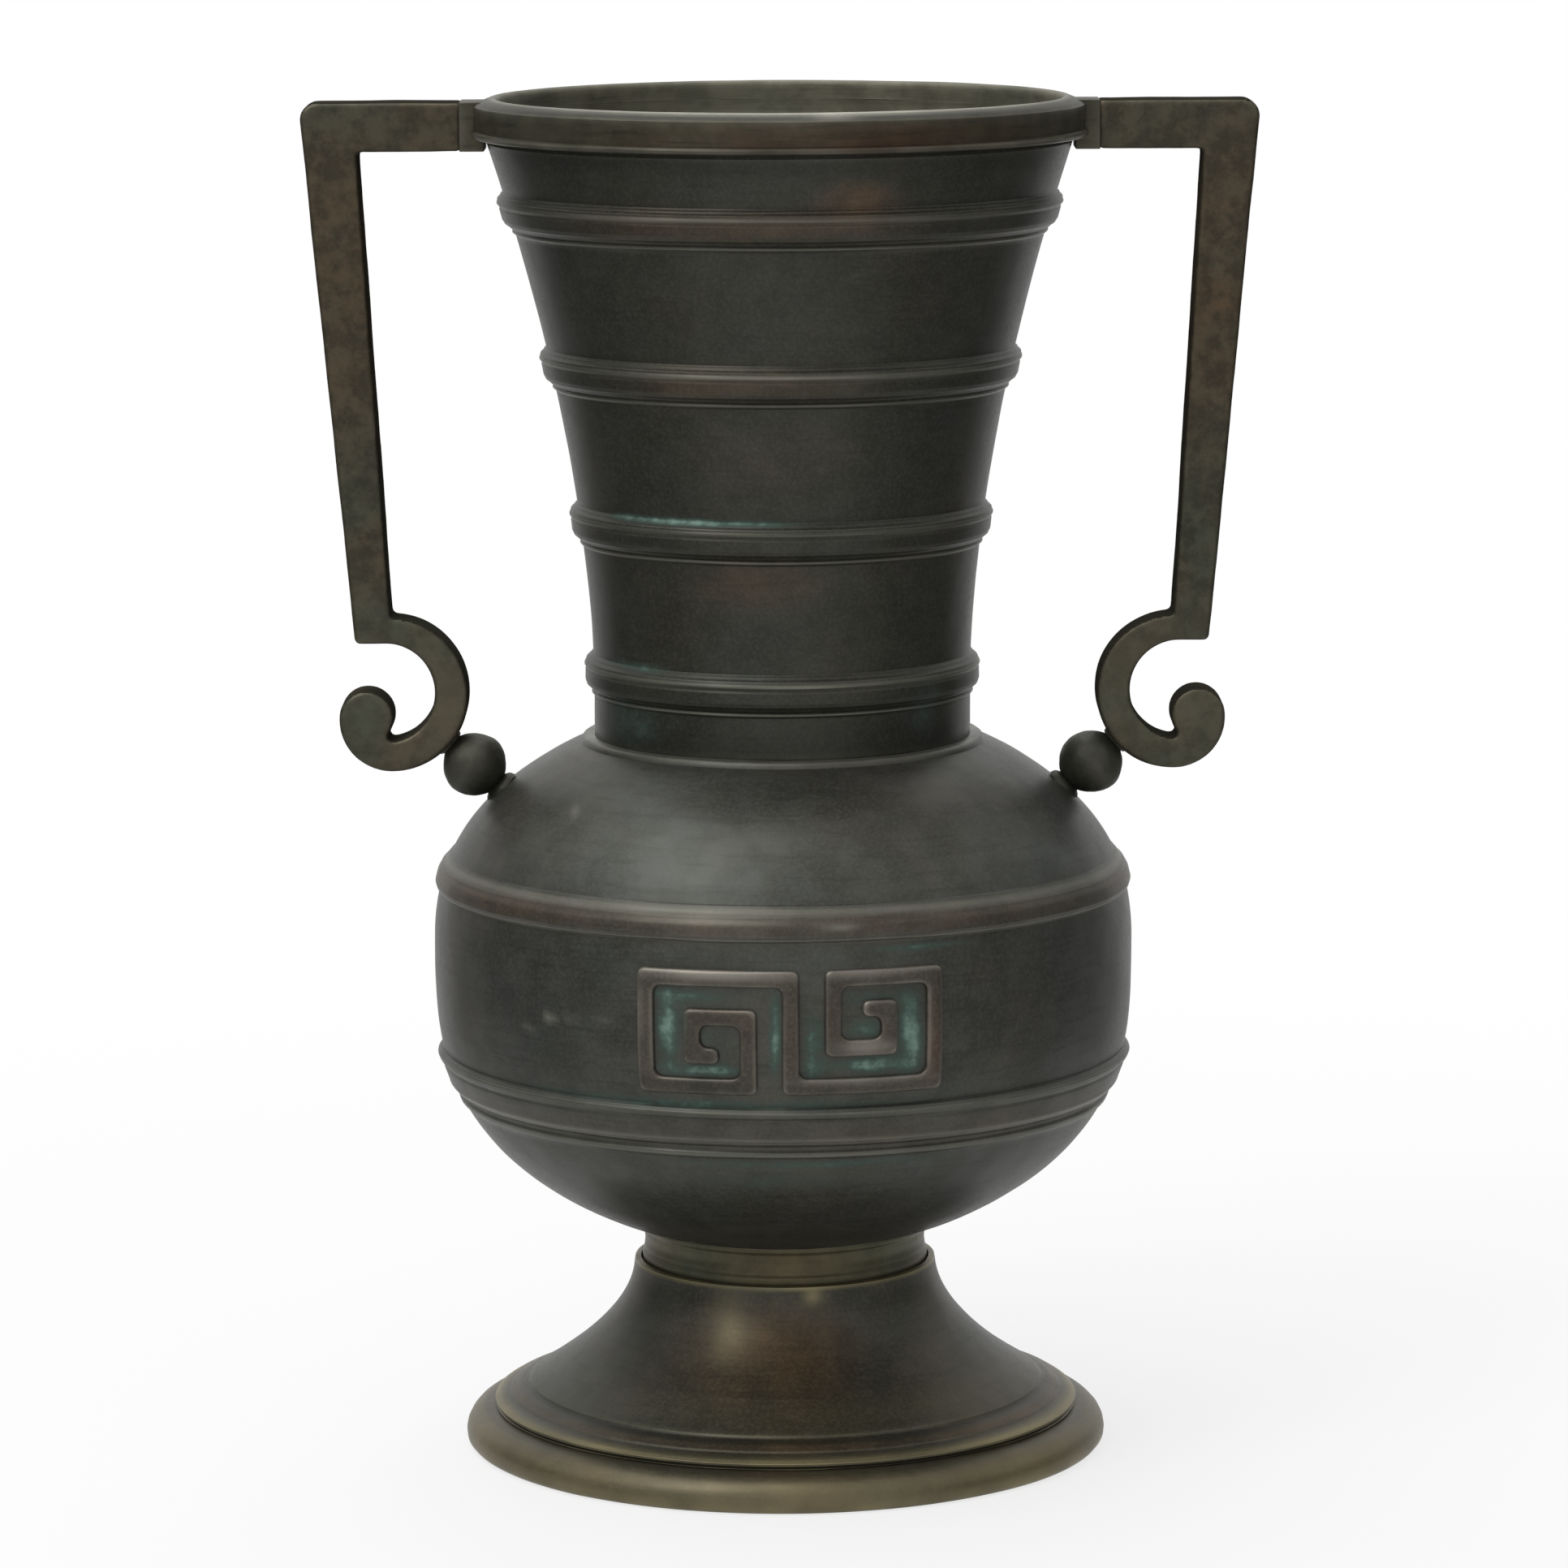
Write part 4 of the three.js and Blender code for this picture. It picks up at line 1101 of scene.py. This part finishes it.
# its worn colour also paints highlights on the top edges of the strokes
fret_bronze = bronze("fret bronze patina", "43423c", "50433a", "a29c92", wear_amount=0.5, turning=0.0,
                     sharpness=0.54)
brown_bronze = bronze("brown bronze patina", "4b4c3c", "5d4f35", "77705e", browning=0.5, turning=0.2)
handle_bronze = bronze("handle bronze patina", "41453b", "544333", "6c6757", size=0.016, browning=0.5,
                       turning=0.0, grazing=0.45, mottling=0.6)
# the sides of the handles: a darker, matt copy of the handle patina, whose darker colour is painted shade
# along the edges of the outline
side_bronze_with_painted_shade = bronze("handle side patina with painted shade", "2b2c27", "352c24", "4c483d", size=0.016, rough=0.8,
                     turning=0.0, grazing=0.3, metal=0.2, gloss=0.0)
bead_bronze = bronze("bead bronze patina", "474840", "4c4236", "6c6b60", wear_amount=0.1, rough=0.55,
                     turning=0.0, pitting=0.8, bump=0.5)
rubbed_bronze = bronze("rubbed bronze patina", "3c3f3b", "5c4934", "948a66", wear_amount=0.9)
inner_bronze = bronze("inside of the castings", "6f6e60", "6b614e", "838276", rough=0.6, bump=0.5)
raw_bronze = bronze("raw casting skin", "5b4a36", "6b5740", "8a7556", rough=0.6, pitting=0.8)

# %% [markdown]
# Every piece is tied to the body it moves with, and each casting stands for its CAD node. The vase has no
# moving part, so there is one body. The insides of the castings and the sides of the handles get a second
# material, chosen by the way each face looks. The floor disc, the studs and the pins keep their imported
# meshes. Those carry no attributes, so their raw skin takes the tone of a hollow all over.


# %% Tie the pieces to the frame
def second_finish(piece, material, chosen):
    """Give the faces that a test chooses a material of their own."""
    piece.data.materials.append(material)
    for face in piece.data.polygons:
        if chosen(face):
            face.material_index = 1


def faces_inwards(face):
    """True on the inner side of a wall."""
    return face.normal.xy.dot(face.center.xy.normalized()) < -0.3


def faces_sideways(face):
    """True round the outline of a handle, and false on its front and back."""
    return abs(face.normal.y) < 0.6


fittings = [
    (body, "body", "dark_bronze", body_bronze),
    (neck, "neck", "dark_bronze", dark_bronze),
    (foot, "foot", "rubbed_bronze", rubbed_bronze),
    (stem, "stem_collar", "brown_bronze", brown_bronze),
    (rim, "mouth_rim", "brown_bronze", rim_bronze),
    (right_handle, "right_handle", "brown_bronze", handle_bronze),
    (left_handle, "left_handle", "brown_bronze", handle_bronze),
    (right_bead, "right_bead", "dark_bronze", bead_bronze),
    (left_bead, "left_bead", "dark_bronze", bead_bronze),
    (front_fret, None, "dark_bronze", fret_bronze),
    (back_fret, None, "dark_bronze", fret_bronze),
]
for piece, stands_for, slot, material in fittings:
    piece.data.materials.clear()
    piece.data.materials.append(material)
    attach(piece, "root")
    if stands_for:
        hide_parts(stands_for)
for casting in (body, neck, foot, rim):
    second_finish(casting, inner_bronze, faces_inwards)
# the darker colour on the sides of the handles is painted shade
for handle in (right_handle, left_handle):
    second_finish(handle, side_bronze_with_painted_shade, faces_sideways)
for name in ["belly_floor", "left_stud", "right_stud", "left_rim_pin", "right_rim_pin"]:
    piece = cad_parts[name]
    piece.data.materials.clear()
    piece.data.materials.append(raw_bronze)
print(len(fittings), "pieces tied to the frame")

# %% [markdown]
# The photograph has a plain white ground and soft light from above. The floor is pale paper: round the vase
# it takes the light and keeps the shadow, and further out it fades into the white of the world, so no
# horizon shows. The world is white where the camera or a reflection sees it, but lights the vase at a plain
# level. As in a studio, dark flags stand low on both sides: they draw the dark flanks of the neck and the
# belly. Boards would show in the other views, so only reflections see the flags, in the floor and in the
# world. Neither of the two is sampled as a lamp, so each reflection sees what it would really see.


# %% Floor
FLAG_EDGES = (0.5, 0.9)
FLAG_DEPTH = 0.8


def light_path(tree):
    """Two masks: the rays that see the ground as white, and the reflections among them."""
    ray = node(tree, "LightPath").outputs
    seen = calc(tree, "MAXIMUM", ray["Is Camera Ray"], ray["Is Glossy Ray"])
    return calc(tree, "MAXIMUM", seen, ray["Is Transmission Ray"]), ray["Is Glossy Ray"]


def flagged_white(tree, flag, glossy):
    """A strength of 1, which falls where a reflection sees a flag."""
    return calc(tree, "MULTIPLY_ADD", calc(tree, "MULTIPLY", flag, glossy), -FLAG_DEPTH, 1.0)


start_clean()
bpy.ops.mesh.primitive_circle_add(vertices=96, radius=3.0, fill_type="NGON", location=(0, 0, 0))
floor = bpy.context.object
floor.name = "floor"
paper = bpy.data.materials.new("white ground")
paper.use_nodes = True
ground = paper.node_tree
lit = plug(ground, ground.nodes["Principled BSDF"], {
    "Base Color": (0.8, 0.8, 0.8, 1),
    "Roughness": 0.9,
    "Specular IOR Level": 0.0,
})
where = point_on(ground)
distance = node(ground, "VectorMath", {0: where}, operation="LENGTH").outputs["Value"]
sideways = calc(ground, "ABSOLUTE", node(ground, "SeparateXYZ", {0: where}).outputs[0])
across = ramp(ground, calc(ground, "DIVIDE", sideways, distance), *FLAG_EDGES)
flag = calc(ground, "MULTIPLY", across, ramp(ground, distance, 0.1, 0.4))
seen, glossy = light_path(ground)
glow = node(ground, "Emission", {"Strength": flagged_white(ground, flag, glossy)})
fading = calc(ground, "MULTIPLY_ADD", ramp(ground, distance, 0.1, 0.55), 0.25, 0.75)
whitened = calc(ground, "MULTIPLY", fading, seen)
shown = node(ground, "MixShader", {0: whitened, 1: lit.outputs[0], 2: glow.outputs[0]})
plug(ground, ground.nodes["Material Output"], {"Surface": shown.outputs[0]})
paper.cycles.emission_sampling = "NONE"
floor.data.materials.append(paper)
print("floor", [round(v, 2) for v in floor.dimensions])

# %% World
WORLD_LIGHT = 0.45
world = bpy.data.worlds.new("soft studio")
bpy.context.scene.world = world
world.use_nodes = True
sky = world.node_tree
heading = node(sky, "SeparateXYZ", {0: node(sky, "TexCoord").outputs["Generated"]}).outputs
sideways = ramp(sky, calc(sky, "ABSOLUTE", heading[0]), *FLAG_EDGES)
upwards = ramp(sky, heading[2], 0.2, 0.5)
flag = calc(sky, "MULTIPLY", sideways, calc(sky, "SUBTRACT", 1.0, upwards))
seen, glossy = light_path(sky)
strength = node(sky, "Mix", {0: seen, 2: WORLD_LIGHT, 3: flagged_white(sky, flag, glossy)})
plug(sky, sky.nodes["Background"], {"Color": (1, 1, 1, 1), "Strength": strength.outputs[0]})
world.cycles.sampling_method = "NONE"

# %% [markdown]
# One long soft box hangs over the vase, and a small one stands in front on the left. Bare lamps would be
# simpler, but they leave points of light and hard shadows that the photograph doesn't show.


# %% Lamps
LAMP_AIM = Vector((0, 0, 0.12))


def softbox(name, place_at, width, depth, power):
    """A rectangular area lamp that faces the middle of the vase."""
    start_clean()
    bpy.ops.object.light_add(type="AREA", location=place_at)
    lamp = bpy.context.object
    lamp.name = name
    lamp.data.shape = "RECTANGLE"
    lamp.data.size = width
    lamp.data.size_y = depth
    lamp.data.energy = power
    lamp.rotation_euler = (LAMP_AIM - Vector(place_at)).to_track_quat("-Z", "Y").to_euler()
    print(name, "of", power, "watts")


softbox("overhead softbox", (-0.25, 0.1, 1.4), 2.4, 0.9, 18)
softbox("left softbox", (-0.75, -0.8, 1.1), 0.45, 0.45, 3.6)

# %% [markdown]
# The camera was found from the rings of the vase: how open each ellipse looks at each height gives the
# distance and the angle. Setting it by eye would leave the ellipses a little wrong. It is a long lens, 1.3
# m away, that looks 9 degrees down.

# %% Camera
CAMERA_PLACE = (0.00025, -1.2533, 0.3215)
CAMERA_PITCH = 8.987
CAMERA_ROLL = 0.26
camera_data = bpy.data.cameras.new("camera")
camera_data.lens = 157.7
camera_data.sensor_width = 36
camera = bpy.data.objects.new("camera", camera_data)
bpy.context.scene.collection.objects.link(camera)
pitch = Matrix.Rotation(math.radians(90 - CAMERA_PITCH), 4, "X")
roll = Matrix.Rotation(math.radians(-CAMERA_ROLL), 4, "Z")
camera.matrix_world = Matrix.Translation(CAMERA_PLACE) @ pitch @ roll
bpy.context.scene.camera = camera
bpy.context.scene.view_settings.view_transform = "Standard"
print("camera at", CAMERA_PLACE)
